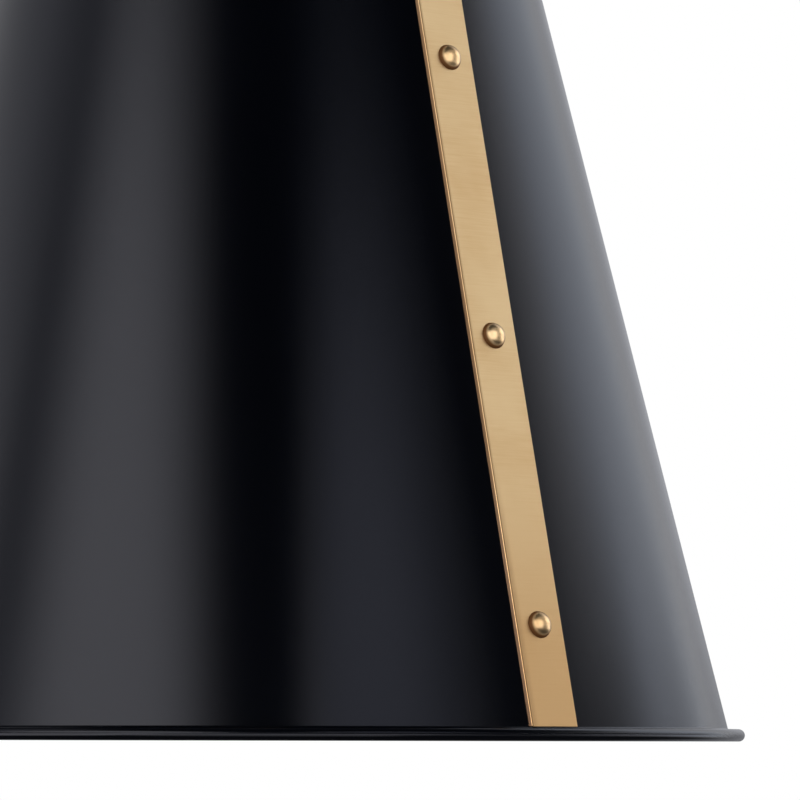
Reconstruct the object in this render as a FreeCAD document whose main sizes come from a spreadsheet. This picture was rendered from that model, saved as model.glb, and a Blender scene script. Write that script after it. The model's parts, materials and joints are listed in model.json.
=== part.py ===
"""Stem-hung pendant lamp: a tall conical sheet-steel shade held by three riveted brass straps.

Millimetres. The origin is on the stem's axis in the ceiling plane, +Z is up and the lamp hangs
below it. -Y is the front, which is the side that the photograph shows.
"""
import FreeCAD, Part
import math
import os
import Sketcher

Vector = FreeCAD.Vector
doc = FreeCAD.newDocument("pendant_lamp")

# Driving dimensions
DIMENSIONS = {
    # shade
    "rim_diameter": 457.2,  # over the rolled bead
    "rim_bead": 5.7,  # height of the rolled bead
    "lip_reach": 7.8,  # how far the bead stands out from the foot of the wall
    "curl_gap": 1.5,  # from the wall to the free edge of the curl
    "wall_slope": 0.251,  # inward run of the wall for each unit of height
    "shade_height": 480.0,
    "shade_sheet": 1.0,
    "shoulder_radius": 12.0,
    "wire_play": 0.5,  # round the wire in the curl
    # straps and rivets
    "first_strap_turn": 35.0,  # degrees from the front, seen from above
    "strap_width": 25.0,
    "strap_thickness": 2.5,
    "strap_seat": 0.1,  # a flat strap on a round wall
    "strap_foot_gap": 0.2,  # above the rim
    "strap_inner_radius": 26.0,  # where a strap ends on the roof
    "rivet_first": 43.3,  # height of the lowest rivet above the strap's foot
    "rivet_top_margin": 37.8,  # from the highest wall rivet to the shoulder
    "rivet_head_radius": 6.0,
    "rivet_head_height": 4.5,
    "rivet_shank_radius": 2.4,
    "rivet_tail_radius": 3.7,
    "rivet_tail_height": 1.6,
    "rivet_play": 0.1,
    "burr_radius": 5.5,
    "burr_thickness": 1.0,
    "burr_seat": 0.2,  # a flat burr in a round wall
    "roof_rivet_radius": 62.0,
    # hub
    "hub_radius": 42.0,
    "hub_thickness": 3.0,
    "hub_edge": 1.2,
    "spacer_radius": 20.0,
    "plate_radius": 45.0,
    "plate_thickness": 2.0,
    # lamp thread, nuts and washers
    "thread_radius": 4.85,
    "thread_play": 0.05,
    "thread_bore": 3.2,
    "hole_play": 0.3,
    "nut_corner_radius": 8.1,
    "nut_height": 4.5,
    "washer_radius": 10.0,
    "washer_thickness": 1.2,
    "nipple_reach": 10.0,  # how far a nipple goes into each piece that it joins
    "thread_runout": 0.5,  # how far the knuckle's threaded hole goes past its nipple
    # stem
    "rod_diameter": 12.7,
    "rod_length": 152.4,
    "coupler_radius": 8.5,
    "coupler_length": 16.0,
    "coupler_edge": 1.0,
    "collar_radius": 22.0,
    "collar_neck_radius": 9.0,
    "collar_height": 20.0,
    "collar_base": 2.5,
    "collar_neck_height": 4.0,
    "collar_sweep": 15.0,
    # swivel
    "swivel_radius": 14.0,
    "cap_radius": 17.0,
    "cap_thickness": 4.0,
    "cap_edge": 1.5,
    "spigot_radius": 10.0,
    "spigot_length": 9.0,
    "cup_lip": 3.0,
    "flange_gap": 0.3,  # above the fork's flange
    "flange_rest": 0.1,  # under it
    "flange_thickness": 4.0,
    "neck_radius": 6.0,
    "neck_play": 0.08,
    "fork_gap": 0.5,  # between cup and fork
    "fork_bridge": 7.0,
    "fork_slot": 14.4,
    "tongue_width": 14.0,
    "tongue_radius": 8.4,
    "tongue_gap": 1.0,  # above the tongue
    "ear_radius": 10.0,
    "shoulder_gap": 0.3,  # between the ears and the knuckle's shoulder
    "knuckle_radius": 11.0,
    "knuckle_length": 16.0,
    "wire_bore": 3.5,
    "pivot_radius": 2.5,
    "pivot_play": 0.05,
    "pivot_head_radius": 4.0,
    "pivot_head_height": 2.3,
    "pivot_head_sink": 0.2,  # below the fork's outside
    "pivot_head_play": 0.2,  # round the head
    "pivot_end_gap": 0.5,  # from the wire bore to the end of a pivot screw
    "screw_slot_width": 0.9,
    "screw_slot_depth": 0.9,
    "stop_radius": 7.5,
    "stop_pin_radius": 1.0,
    "stop_pin_seat": 5.0,
    "stop_pin_reach": 1.8,
    "stop_groove_width": 2.6,
    "stop_groove_depth": 2.0,
    "stop_groove_half_angle": 168.5,
    # canopy and crossbar
    "canopy_diameter": 127.0,
    "canopy_depth": 22.0,
    "canopy_corner": 14.0,
    "canopy_sheet": 1.2,
    "slot_spacing": 88.9,
    "slot_length": 12.0,
    "slot_width": 4.8,
    "slot_margin": 2.45,
    "bar_end_gap": 4.35,  # from the canopy to each end of the bar
    "bar_width": 20.0,
    "bar_thickness": 2.0,
    "bar_drop": 7.0,  # how far the middle of the bar lies below its ends
    "bar_run": 6.0,  # length of each sloping leg
    "wire_hole_radius": 5.2,
    "stud_radius": 2.05,
    "stud_tail": 6.0,  # into the cap nut
    "stud_margin": 1.4,  # from the stud's head to the bend of the bar
    "screw_head_radius": 3.6,
    "screw_head_height": 2.4,
    "cap_nut_radius": 5.0,
    "cap_nut_neck_radius": 3.8,
    "cap_nut_neck": 2.5,
    "cap_nut_end_gap": 1.0,  # past the end of the stud
    "canopy_nipple_stand": 2.0,  # above its nut
    "canopy_nipple_sink": 1.0,  # inside the end of the swivel cap
    "ground_screw_offset": 12.0,
    "ground_screw_length": 4.5,
    # lamp holder
    "husk_drop": 40.5,  # from the centre nut to the nut on the husk
    "husk_radius": 23.0,
    "husk_length": 60.0,
    "husk_corner": 6.0,
    "husk_sheet": 1.0,
    "holder_cap_radius": 16.0,
    "holder_cap_thickness": 5.0,
    "holder_radius": 19.0,
    "holder_length": 40.0,
    "holder_floor": 8.0,
    "holder_edge": 1.5,
    "shell_radius": 13.4,  # inside, over the crests
    "ridge_depth": 0.6,
    "ridge_pitch": 3.63,
    "shell_sheet": 0.4,
    "shell_play": 0.1,
    "shell_flange": 2.0,
    "contact_radius": 4.2,
    "contact_thickness": 0.8,
    "contact_shank_radius": 1.6,
    "contact_shank_sink": 1.0,  # inside the top of the lamp holder
    "holder_screw_radius": 1.3,
    "holder_screw_head_radius": 2.3,
    "holder_screw_head_height": 1.4,
    "holder_screw_circle": 8.0,
    "holder_screw_length": 12.0,
    "terminal_drop": 12.0,
    "terminal_shank_radius": 1.5,
    "terminal_head_radius": 3.2,
    "terminal_head_height": 1.6,
    "terminal_depth": 2.6,
    "terminal_end_gap": 0.4,  # past the end of a terminal screw
    # bulb
    "bulb_gap": 0.3,  # under the centre contact
    "bulb_tip_radius": 4.2,
    "bulb_tip_thickness": 1.0,
    "bulb_insulator_height": 2.6,
    "bulb_insulator_radius": 11.6,
    "bulb_insulator_ledge": 1.0,  # round the tip
    "bulb_cap_radius": 13.15,  # over the crests
    "bulb_cap_sheet": 0.4,
    "bulb_cap_lip": 1.0,  # inward over the insulator
    "bulb_skirt": 1.0,
    "bulb_radius": 30.0,
    "bulb_length": 110.0,
    "bulb_glass": 0.8,
    "bulb_neck_gap": 0.6,
    "bulb_shoulder": 0.825,  # where the neck's curve meets the globe, as a share of its radius
    "bulb_stem_radius": 11.4,
    "bulb_stem_length": 6.0,
}
STRAPS = ["strap_front", "strap_rear", "strap_left"]
WALL_RIVETS = 4
SHELL_RIDGES = 7
CAP_RIDGES = 5
PAST = 1.0  # how far a cutter runs past the face that it opens


class Size:
    """A size: its number now, and the formula that ties it to the sheet."""

    def __init__(self, number, formula):
        self.number = number
        self.formula = formula

    def __add__(self, other):
        other = as_size(other)
        return Size(self.number + other.number, f"({self.formula} + {other.formula})")

    def __sub__(self, other):
        other = as_size(other)
        return Size(self.number - other.number, f"({self.formula} - {other.formula})")

    def __mul__(self, other):
        other = as_size(other)
        return Size(self.number * other.number, f"({self.formula} * {other.formula})")

    def __truediv__(self, other):
        other = as_size(other)
        return Size(self.number / other.number, f"({self.formula} / {other.formula})")

    def __radd__(self, other):
        return as_size(other) + self

    def __rsub__(self, other):
        return as_size(other) - self

    def __rmul__(self, other):
        return as_size(other) * self

    def __rtruediv__(self, other):
        return as_size(other) / self

    def __neg__(self):
        return as_size(-1) * self


def as_size(value):
    """Take a plain number as a size too."""
    if isinstance(value, Size):
        return value
    return Size(float(value), f"({value})")


def root(value):
    return Size(math.sqrt(value.number), f"sqrt({value.formula})")


class Dimensions:
    """The cells of the sheet, each under its own name."""


sheet = doc.addObject("Spreadsheet::Sheet", "sizes")
dim = Dimensions()
for row, (name, number) in enumerate(DIMENSIONS.items(), start=1):
    sheet.set(f"A{row}", "'" + name)
    sheet.set(f"B{row}", str(number))
    sheet.setAlias(f"B{row}", name)
    setattr(dim, name, Size(number, "sizes." + name))

layout = doc.addObject("App::VarSet", "layout")


def derived(name, value):
    """Keep a worked-out size in the layout set, under a name that features use."""
    layout.addProperty("App::PropertyFloat", name, "Layout")
    layout.setExpression(name, value.formula)
    return Size(value.number, "layout." + name)


# Helpers for sketches, features and places
def arc(start, end, radius):
    """Arc of under half a turn: the centre is on the left for a radius above zero."""
    chord = end - start
    half = chord.Length / 2
    rise = math.sqrt(max(radius * radius - half * half, 0.0))
    left = Vector(-chord.y, chord.x, 0).normalize()
    centre = (start + end) / 2 + left * math.copysign(rise, radius)
    first, last = (start, end) if radius > 0 else (end, start)
    angles = [math.atan2(p.y - centre.y, p.x - centre.x) for p in (first, last)]
    if angles[1] < angles[0]:
        angles[1] += 2 * math.pi
    circle = Part.Circle(centre, Vector(0, 0, 1), abs(radius))
    return Part.ArcOfCircle(circle, angles[0], angles[1])


def outline(body, plane_role, points):
    """Closed sketch through points (x, y) or (x, y, radius of the arc that ends there)."""
    sketch = body.newObject("Sketcher::SketchObject", body.Name + "_outline")
    plane = [part for part in body.Origin.OriginFeatures if part.Role == plane_role][0]
    sketch.AttachmentSupport = [(plane, "")]
    sketch.MapMode = "FlatFace"
    corners = [Vector(as_size(p[0]).number, as_size(p[1]).number, 0) for p in points]
    count = len(points)
    ends = []
    for index in range(count):
        following = (index + 1) % count
        bend = as_size(points[following][2]) if len(points[following]) > 2 else None
        if bend is None:
            edge = Part.LineSegment(corners[index], corners[following])
        else:
            edge = arc(corners[index], corners[following], bend.number)
        ends.append((2, 1) if bend is not None and bend.number < 0 else (1, 2))
        sketch.addGeometry(edge, False)
    for index in range(count):
        following = (index + 1) % count
        sketch.addConstraint(Sketcher.Constraint(
            "Coincident", index, ends[index][1], following, ends[following][0]))
    for index, point in enumerate(points):
        for kind, value in zip(("DistanceX", "DistanceY"), point):
            value = as_size(value)
            constraint = Sketcher.Constraint(kind, -1, 1, index, ends[index][0], value.number)
            number = sketch.addConstraint(constraint)
            sketch.setExpression(f"Constraints[{number}]", value.formula)
        if len(point) > 2:
            bend = as_size(point[2])
            edge = (index - 1) % count
            number = sketch.addConstraint(Sketcher.Constraint("Radius", edge, abs(bend.number)))
            sketch.setExpression(f"Constraints[{number}]", f"abs({bend.formula})")
    return sketch


def turned(label, points):
    """Solid of revolution about Z from an outline in radius and height."""
    body = doc.addObject("PartDesign::Body", label)
    body.Label = label
    sketch = outline(body, "XZ_Plane", points)
    spin = body.newObject("PartDesign::Revolution", label + "_turning")
    spin.Profile = sketch
    spin.ReferenceAxis = (sketch, ["V_Axis"])
    spin.Angle = 360
    body.Tip = spin
    return body


def bar(label, points, width):
    """Flat stock, bent or cut to an outline in X and Z and as wide as width along Y."""
    body = doc.addObject("PartDesign::Body", label)
    body.Label = label
    sketch = outline(body, "XZ_Plane", points)
    pad = body.newObject("PartDesign::Pad", label + "_width")
    pad.Profile = sketch
    pad.SideType = "Symmetric"
    pad.setExpression("Length", width.formula)
    body.Tip = pad
    return body


def tube(label, bore, radius, length):
    """Straight tube that hangs from its own origin."""
    return turned(label, [(bore, 0), (radius, 0), (radius, -length), (bore, -length)])


def place(piece, x=0, y=0, z=0, turn=0, tip=0, tip_axis=(0, 1, 0)):
    """Tip a piece about tip_axis, set it at x, y, z, then turn all that about Z."""
    spot = "; ".join(as_size(value).formula for value in (x, y, z))
    axis = "; ".join(str(value) for value in tip_axis)
    piece.setExpression("Placement", (
        f"placement(vector(0; 0; 0); rotation(vector(0; 0; 1); {as_size(turn).formula}))"
        f" * placement(vector({spot}); rotation(vector({axis}); {as_size(tip).formula}))"))
    return piece


def cylinder(label, radius, length, **spot):
    piece = doc.addObject("Part::Cylinder", label)
    piece.setExpression("Radius", as_size(radius).formula)
    piece.setExpression("Height", as_size(length).formula)
    return place(piece, **spot)


def block(label, length, width, height, x=0, y=0, z=0):
    """Block centred on x and y, with its bottom at z."""
    piece = doc.addObject("Part::Box", label)
    for name, value in (("Length", length), ("Width", width), ("Height", height)):
        piece.setExpression(name, as_size(value).formula)
    return place(piece, x - as_size(length) / 2, y - as_size(width) / 2, z)


def together(label, pieces):
    """One cutter made of several."""
    piece = doc.addObject("Part::MultiFuse", label)
    piece.Shapes = pieces
    return piece


def cut(label, stock, cutters):
    """The stock without its cutters."""
    piece = doc.addObject("Part::Cut", label)
    piece.Label = label
    piece.Base = stock
    piece.Tool = cutters[0] if len(cutters) == 1 else together(label + "_cutters", cutters)
    return piece


def group(label, pieces):
    """Identical pieces that share one node."""
    piece = doc.addObject("Part::Compound", label)
    piece.Label = label
    piece.Links = pieces
    return piece


def hex_nut(label, bore, corner_radius, height):
    """Hexagon nut that hangs from its own origin."""
    blank = doc.addObject("Part::Prism", label + "_blank")
    blank.Polygon = 6
    blank.setExpression("Circumradius", corner_radius.formula)
    blank.setExpression("Height", height.formula)
    place(blank, z=-height)
    hole = cylinder(label + "_hole", bore, height + 2 * PAST, z=-height - PAST)
    return cut(label, blank, [hole])


def pressed_cup(label, radius, depth, corner, sheet_thickness, hole, mouth):
    """Sheet-metal cup with a holed flat end. Its mouth faces up for mouth 1 and down for -1."""
    inner = radius - sheet_thickness
    low = -depth * mouth
    bend = low + corner * mouth
    inside = low + sheet_thickness * mouth
    return turned(label, [
        (hole, low), (radius - corner, low), (radius, bend, corner * mouth),
        (radius, 0), (inner, 0), (inner, bend),
        (radius - corner, inside, -(corner - sheet_thickness) * mouth), (hole, inside)])


nodes = []


def node(piece):
    """List a piece that gets a file of its own."""
    nodes.append(piece)
    return piece


# Heights down the stem, from the ceiling
thread_hole = derived("thread_hole", dim.thread_radius + dim.thread_play)
clear_hole = derived("clear_hole", dim.thread_radius + dim.hole_play)
rod_radius = derived("rod_radius", dim.rod_diameter / 2)
cap_top = derived("cap_top", -dim.canopy_depth)
cup_top = derived("cup_top", cap_top - dim.cap_thickness)
cup_length = derived("cup_length", dim.spigot_length + dim.flange_gap + dim.flange_thickness
                     + dim.flange_rest + dim.cup_lip)
slot_roof = derived("slot_roof", dim.tongue_radius + dim.tongue_gap)
fork_top = derived("fork_top", slot_roof + dim.fork_bridge)
flange_base = derived("flange_base", fork_top + dim.fork_gap + dim.cup_lip + dim.flange_rest)
flange_top = derived("flange_top", flange_base + dim.flange_thickness)
pivot_height = derived("pivot_height", cup_top - dim.spigot_length - dim.flange_gap - flange_top)
knuckle_shoulder = derived("knuckle_shoulder", dim.ear_radius + dim.shoulder_gap)
rod_top = derived("rod_top", pivot_height - knuckle_shoulder - dim.knuckle_length)
coupler_top = derived("coupler_top", rod_top - dim.rod_length)
lower_rod_top = derived("lower_rod_top", coupler_top - dim.coupler_length)
collar_top = derived("collar_top", lower_rod_top - dim.rod_length)
hub_bottom = derived("hub_bottom", collar_top - dim.collar_height - dim.hub_thickness)
strap_lift = derived("strap_lift", dim.strap_seat + dim.strap_thickness)
spacer_height = derived("spacer_height", strap_lift + dim.strap_seat)
roof_top = derived("roof_top", hub_bottom - spacer_height)
shade_foot = derived("shade_foot", roof_top - dim.shade_height)


# Shade: one spun sheet, with a flat roof, a rounded shoulder, a straight cone and a curled rim
wall_stretch = derived("wall_stretch", root(1 + dim.wall_slope * dim.wall_slope))
wall_foot = derived("wall_foot", dim.rim_diameter / 2 - dim.lip_reach)
curl_radius = derived("curl_radius", dim.rim_bead / 2)
curl_centre = derived("curl_centre", dim.rim_diameter / 2 - curl_radius)
shoulder_height = derived("shoulder_height", dim.shade_height - dim.shoulder_radius)
shoulder_centre = derived("shoulder_centre", (
    wall_foot - dim.wall_slope * (shoulder_height - dim.rim_bead)
    - dim.shoulder_radius * wall_stretch))


def wall_radius(height, lift=0):
    """Radius of the wall's outside at a height above the rim's foot, lifted square to the wall."""
    return wall_foot - dim.wall_slope * (height - dim.rim_bead) + lift * wall_stretch


def shoulder_end(lift):
    """Point where the shoulder's arc meets the cone, on a surface lifted off the sheet."""
    radius = dim.shoulder_radius + lift
    return (shoulder_centre + radius / wall_stretch,
            shoulder_height + radius * dim.wall_slope / wall_stretch)


strap_foot = derived("strap_foot", dim.rim_bead + dim.strap_foot_gap)
strap_turns = [dim.first_strap_turn - 90 + index * 360 / len(STRAPS)
               for index in range(len(STRAPS))]
rivet_low = derived("rivet_low", strap_foot + dim.rivet_first)
rivet_pitch = derived("rivet_pitch", (
    (shoulder_height - dim.rivet_top_margin - rivet_low) / (WALL_RIVETS - 1)))
rivet_heights = [derived(f"rivet_height_{index + 1}", rivet_low + index * rivet_pitch)
                 for index in range(WALL_RIVETS)]
wall_tip = Size(math.degrees(math.atan(1 / dim.wall_slope.number)), "atan(1 / sizes.wall_slope)")


def rivet_spots(drop=0):
    """Places of one strap's rivets on the outside of the sheet, as keywords for place."""
    spots = [dict(x=wall_radius(height), z=height + drop, tip=wall_tip)
             for height in rivet_heights]
    return spots + [dict(x=dim.roof_rivet_radius, z=dim.shade_height + drop)]


def rivet_hole_cutters(label, turn=0):
    """Cutters for one strap's rivet holes: each runs both ways from the sheet's outside."""
    radius = dim.rivet_shank_radius + dim.rivet_play
    inward = dim.shade_sheet + PAST
    outward = strap_lift + PAST
    cutters = []
    for index, spot in enumerate(rivet_spots()):
        name = f"{label}_hole_{index + 1}"
        cutter = turned(name, [(0, -inward), (radius, -inward), (radius, outward), (0, outward)])
        cutters.append(place(cutter, turn=turn, **spot))
    return cutters


def strap_outline():
    """Side view of a strap: up the wall, round the shoulder and in over the roof."""
    return [
        (wall_radius(strap_foot, dim.strap_seat), strap_foot),
        (wall_radius(strap_foot, strap_lift), strap_foot),
        shoulder_end(strap_lift),
        (shoulder_centre, dim.shade_height + strap_lift, dim.shoulder_radius + strap_lift),
        (dim.strap_inner_radius, dim.shade_height + strap_lift),
        (dim.strap_inner_radius, dim.shade_height + dim.strap_seat),
        (shoulder_centre, dim.shade_height + dim.strap_seat),
        (*shoulder_end(dim.strap_seat), -(dim.shoulder_radius + dim.strap_seat))]


shade_blank = turned("shade_blank", [
    (clear_hole, dim.shade_height),
    (shoulder_centre, dim.shade_height),
    (*shoulder_end(0), -dim.shoulder_radius),
    (wall_foot, dim.rim_bead),
    (curl_centre, dim.rim_bead),
    (curl_centre + curl_radius, curl_radius, -curl_radius),
    (curl_centre, 0, -curl_radius),
    (wall_foot + dim.curl_gap, 0),
    (wall_foot + dim.curl_gap, dim.shade_sheet),
    (curl_centre, dim.shade_sheet),
    (curl_centre + curl_radius - dim.shade_sheet, curl_radius, curl_radius - dim.shade_sheet),
    (curl_centre, dim.rim_bead - dim.shade_sheet, curl_radius - dim.shade_sheet),
    (wall_radius(dim.rim_bead - dim.shade_sheet, -dim.shade_sheet),
     dim.rim_bead - dim.shade_sheet),
    shoulder_end(-dim.shade_sheet),
    (shoulder_centre, dim.shade_height - dim.shade_sheet, dim.shoulder_radius - dim.shade_sheet),
    (clear_hole, dim.shade_height - dim.shade_sheet)])
shade_cutters = []
for strap_name, strap_turn in zip(STRAPS, strap_turns):
    shade_cutters += rivet_hole_cutters("shade_" + strap_name, strap_turn)
node(place(cut("shade", shade_blank, shade_cutters), z=shade_foot))

rim_wire = doc.addObject("Part::Torus", "rim_wire")
rim_wire.setExpression("Radius1", curl_centre.formula)
rim_wire.setExpression("Radius2", (curl_radius - dim.shade_sheet - dim.wire_play).formula)
node(place(rim_wire, z=shade_foot + curl_radius))

# Straps, with the solid rivets that hold them and a burr under each rivet's tail
for strap_name, strap_turn in zip(STRAPS, strap_turns):
    stock = bar(strap_name + "_stock", strap_outline(), dim.strap_width)
    strap = cut(strap_name, stock, rivet_hole_cutters(strap_name))
    node(place(strap, z=shade_foot, turn=strap_turn))

dome_radius = ((dim.rivet_head_radius * dim.rivet_head_radius
                + dim.rivet_head_height * dim.rivet_head_height) / (2 * dim.rivet_head_height))
burr_top = -(dim.shade_sheet + dim.burr_seat)
burr_bottom = burr_top - dim.burr_thickness


def rivet(label):
    """Round-head rivet. Its origin is on the outside of the sheet."""
    return turned(label, [
        (0, strap_lift + dim.rivet_head_height),
        (dim.rivet_head_radius, strap_lift, -dome_radius),
        (dim.rivet_shank_radius, strap_lift),
        (dim.rivet_shank_radius, burr_bottom),
        (dim.rivet_tail_radius, burr_bottom),
        (dim.rivet_tail_radius, burr_bottom - dim.rivet_tail_height),
        (0, burr_bottom - dim.rivet_tail_height)])


def burr(label):
    """Washer between the sheet and a rivet's tail. Its origin is the rivet's."""
    hole = dim.rivet_shank_radius + dim.rivet_play
    return turned(label, [(hole, burr_top), (dim.burr_radius, burr_top),
                          (dim.burr_radius, burr_bottom), (hole, burr_bottom)])


rivets = []
burrs = []
for strap_name, strap_turn in zip(STRAPS, strap_turns):
    for number, spot in enumerate(rivet_spots(shade_foot), start=1):
        rivets.append(place(rivet(f"{strap_name}_rivet_{number}"), turn=strap_turn, **spot))
        burrs.append(place(burr(f"{strap_name}_burr_{number}"), turn=strap_turn, **spot))
node(group("strap_rivets", rivets))
node(group("rivet_burrs", burrs))

# Hub: the straps' ends are clamped between hub and roof, and an inner plate backs the roof
hub = turned("top_hub", [
    (clear_hole, 0), (dim.hub_radius, 0), (dim.hub_radius, dim.hub_thickness - dim.hub_edge),
    (dim.hub_radius - dim.hub_edge, dim.hub_thickness, dim.hub_edge),
    (clear_hole, dim.hub_thickness)])
node(place(hub, z=hub_bottom))
plate_top = derived("plate_top", roof_top - dim.shade_sheet)
washer_top = derived("washer_top", plate_top - dim.plate_thickness)
nut_top = derived("nut_top", washer_top - dim.washer_thickness)
husk_nut_top = derived("husk_nut_top", nut_top - dim.nut_height - dim.husk_drop)
husk_top = derived("husk_top", husk_nut_top - dim.nut_height)
holder_cap_top = derived("holder_cap_top", husk_top - dim.husk_sheet)
holder_top = derived("holder_top", holder_cap_top - dim.holder_cap_thickness)
node(place(tube("hub_spacer", clear_hole, dim.spacer_radius, spacer_height), z=hub_bottom))
node(place(tube("inner_plate", clear_hole, dim.plate_radius, dim.plate_thickness), z=plate_top))
node(place(tube("centre_washer", clear_hole, dim.washer_radius, dim.washer_thickness),
           z=washer_top))
node(place(hex_nut("centre_nut", thread_hole, dim.nut_corner_radius, dim.nut_height), z=nut_top))
nipple_top = collar_top + dim.nipple_reach
node(place(tube("centre_nipple", dim.thread_bore, dim.thread_radius, nipple_top - holder_top),
           z=nipple_top))

# Stem: two rods, a coupler between them and a collar on the hub
collar = turned("stem_collar", [
    (thread_hole, 0), (dim.collar_radius, 0), (dim.collar_radius, dim.collar_base),
    (dim.collar_neck_radius, dim.collar_height - dim.collar_neck_height, -dim.collar_sweep),
    (dim.collar_neck_radius, dim.collar_height), (thread_hole, dim.collar_height)])
node(place(collar, z=hub_bottom + dim.hub_thickness))
node(place(tube("upper_rod", thread_hole, rod_radius, dim.rod_length), z=rod_top))
node(place(tube("lower_rod", thread_hole, rod_radius, dim.rod_length), z=lower_rod_top))
coupler_flat = dim.coupler_radius - dim.coupler_edge
coupler = turned("rod_coupler", [
    (thread_hole, 0), (coupler_flat, 0), (dim.coupler_radius, -dim.coupler_edge),
    (dim.coupler_radius, dim.coupler_edge - dim.coupler_length),
    (coupler_flat, -dim.coupler_length), (thread_hole, -dim.coupler_length)])
node(place(coupler, z=coupler_top))
nipple_length = 2 * dim.nipple_reach
node(place(tube("knuckle_nipple", dim.thread_bore, dim.thread_radius, nipple_length),
           z=rod_top + dim.nipple_reach))
node(place(tube("coupler_nipple", dim.thread_bore, dim.thread_radius,
                nipple_length + dim.coupler_length), z=coupler_top + dim.nipple_reach))

# Knuckle: it hangs in the fork on two screws, so that the stem can tilt
tongue_foot = knuckle_shoulder + dim.knuckle_length / 2
tongue = bar("knuckle_tongue", [
    (-dim.tongue_radius, -tongue_foot), (dim.tongue_radius, -tongue_foot),
    (dim.tongue_radius, 0), (0, dim.tongue_radius, dim.tongue_radius),
    (-dim.tongue_radius, 0, dim.tongue_radius)], dim.tongue_width)
knuckle_base = turned("knuckle_base", [
    (0, -knuckle_shoulder), (dim.knuckle_radius, -knuckle_shoulder),
    (dim.knuckle_radius, -knuckle_shoulder - dim.knuckle_length),
    (0, -knuckle_shoulder - dim.knuckle_length)])
pivot_hole = dim.pivot_radius + dim.pivot_play
swivel_diameter = 2 * dim.swivel_radius


def cross_hole(label, radius, length, start=0):
    """Cutter along Y, from start, for the screws that the stem tilts on."""
    return cylinder(label, radius, length, y=start, tip=-90, tip_axis=(1, 0, 0))


knuckle_cutters = [
    cylinder("knuckle_wire_bore", dim.wire_bore, 2 * tongue_foot + dim.knuckle_length,
             z=-tongue_foot - dim.knuckle_length),
    cylinder("knuckle_thread", thread_hole, dim.nipple_reach + dim.thread_runout + PAST,
             z=-knuckle_shoulder - dim.knuckle_length - PAST),
    cross_hole("knuckle_pivot_hole", pivot_hole, swivel_diameter, -dim.swivel_radius)]
knuckle = cut("stem_knuckle", together("knuckle_stock", [tongue, knuckle_base]), knuckle_cutters)
node(place(knuckle, z=pivot_height))

# Fork: it turns in the cup, and a pin in a groove stops it short of a full turn
ear_flat = dim.ear_radius / root(as_size(2))
ear_side = dim.swivel_radius + PAST
fork_turning = turned("fork_turning", [
    (dim.wire_bore, -dim.ear_radius), (dim.swivel_radius, -dim.ear_radius),
    (dim.swivel_radius, fork_top), (dim.neck_radius, fork_top),
    (dim.neck_radius, flange_base), (dim.spigot_radius - dim.flange_gap, flange_base),
    (dim.spigot_radius - dim.flange_gap, flange_top), (dim.wire_bore, flange_top)])
fork_side = bar("fork_side", [
    (-ear_side, flange_top + PAST), (-ear_side, ear_side - 2 * ear_flat),
    (-ear_flat, -ear_flat), (ear_flat, -ear_flat, dim.ear_radius),
    (ear_side, ear_side - 2 * ear_flat), (ear_side, flange_top + PAST)], 2 * ear_side)
fork_stock = doc.addObject("Part::Common", "fork_stock")
fork_stock.Base = fork_turning
fork_stock.Tool = fork_side
groove_sector = cylinder("groove_sector", dim.stop_radius + dim.stop_groove_width / 2,
                         dim.stop_groove_depth + PAST, z=flange_top - dim.stop_groove_depth,
                         turn=-dim.stop_groove_half_angle)
groove_sector.setExpression("Angle", (2 * dim.stop_groove_half_angle).formula)
groove_core = cylinder("groove_core", dim.stop_radius - dim.stop_groove_width / 2,
                       dim.stop_groove_depth + 3 * PAST,
                       z=flange_top - dim.stop_groove_depth - PAST)
pivot_seat = derived("pivot_seat", (
    dim.swivel_radius - dim.pivot_head_height - dim.pivot_head_sink))
head_recess = dim.pivot_head_radius + dim.pivot_head_play
fork_cutters = [
    block("fork_slot_space", 2 * ear_side, dim.fork_slot,
          slot_roof + dim.ear_radius + PAST, z=-dim.ear_radius - PAST),
    cut("stop_groove", groove_sector, [groove_core]),
    cross_hole("fork_pivot_hole", pivot_hole, swivel_diameter, -dim.swivel_radius),
    cross_hole("head_recess_rear", head_recess, dim.swivel_radius, pivot_seat),
    cross_hole("head_recess_front", head_recess, dim.swivel_radius,
               -pivot_seat - dim.swivel_radius)]
node(place(cut("swivel_fork", fork_stock, fork_cutters), z=pivot_height))


def screw(label, head_radius, head_height, shank_radius, length):
    """Cheese-head screw with its head above its origin and its shank below, and a slot."""
    blank = turned(label + "_blank", [
        (0, head_height), (head_radius, head_height), (head_radius, 0),
        (shank_radius, 0), (shank_radius, -length), (0, -length)])
    slot = block(label + "_slot", 2 * (head_radius + PAST), dim.screw_slot_width,
                 dim.screw_slot_depth + PAST, z=head_height - dim.screw_slot_depth)
    return cut(label, blank, [slot])


pivot_length = pivot_seat - dim.wire_bore - dim.pivot_end_gap
pivot_screws = []
for side, tip in (("rear", -90), ("front", 90)):
    piece = screw("pivot_screw_" + side, dim.pivot_head_radius, dim.pivot_head_height,
                  dim.pivot_radius, pivot_length)
    reach = pivot_seat if side == "rear" else -pivot_seat
    pivot_screws.append(place(piece, y=reach, z=pivot_height, tip=tip, tip_axis=(1, 0, 0)))
node(group("pivot_screws", pivot_screws))

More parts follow.
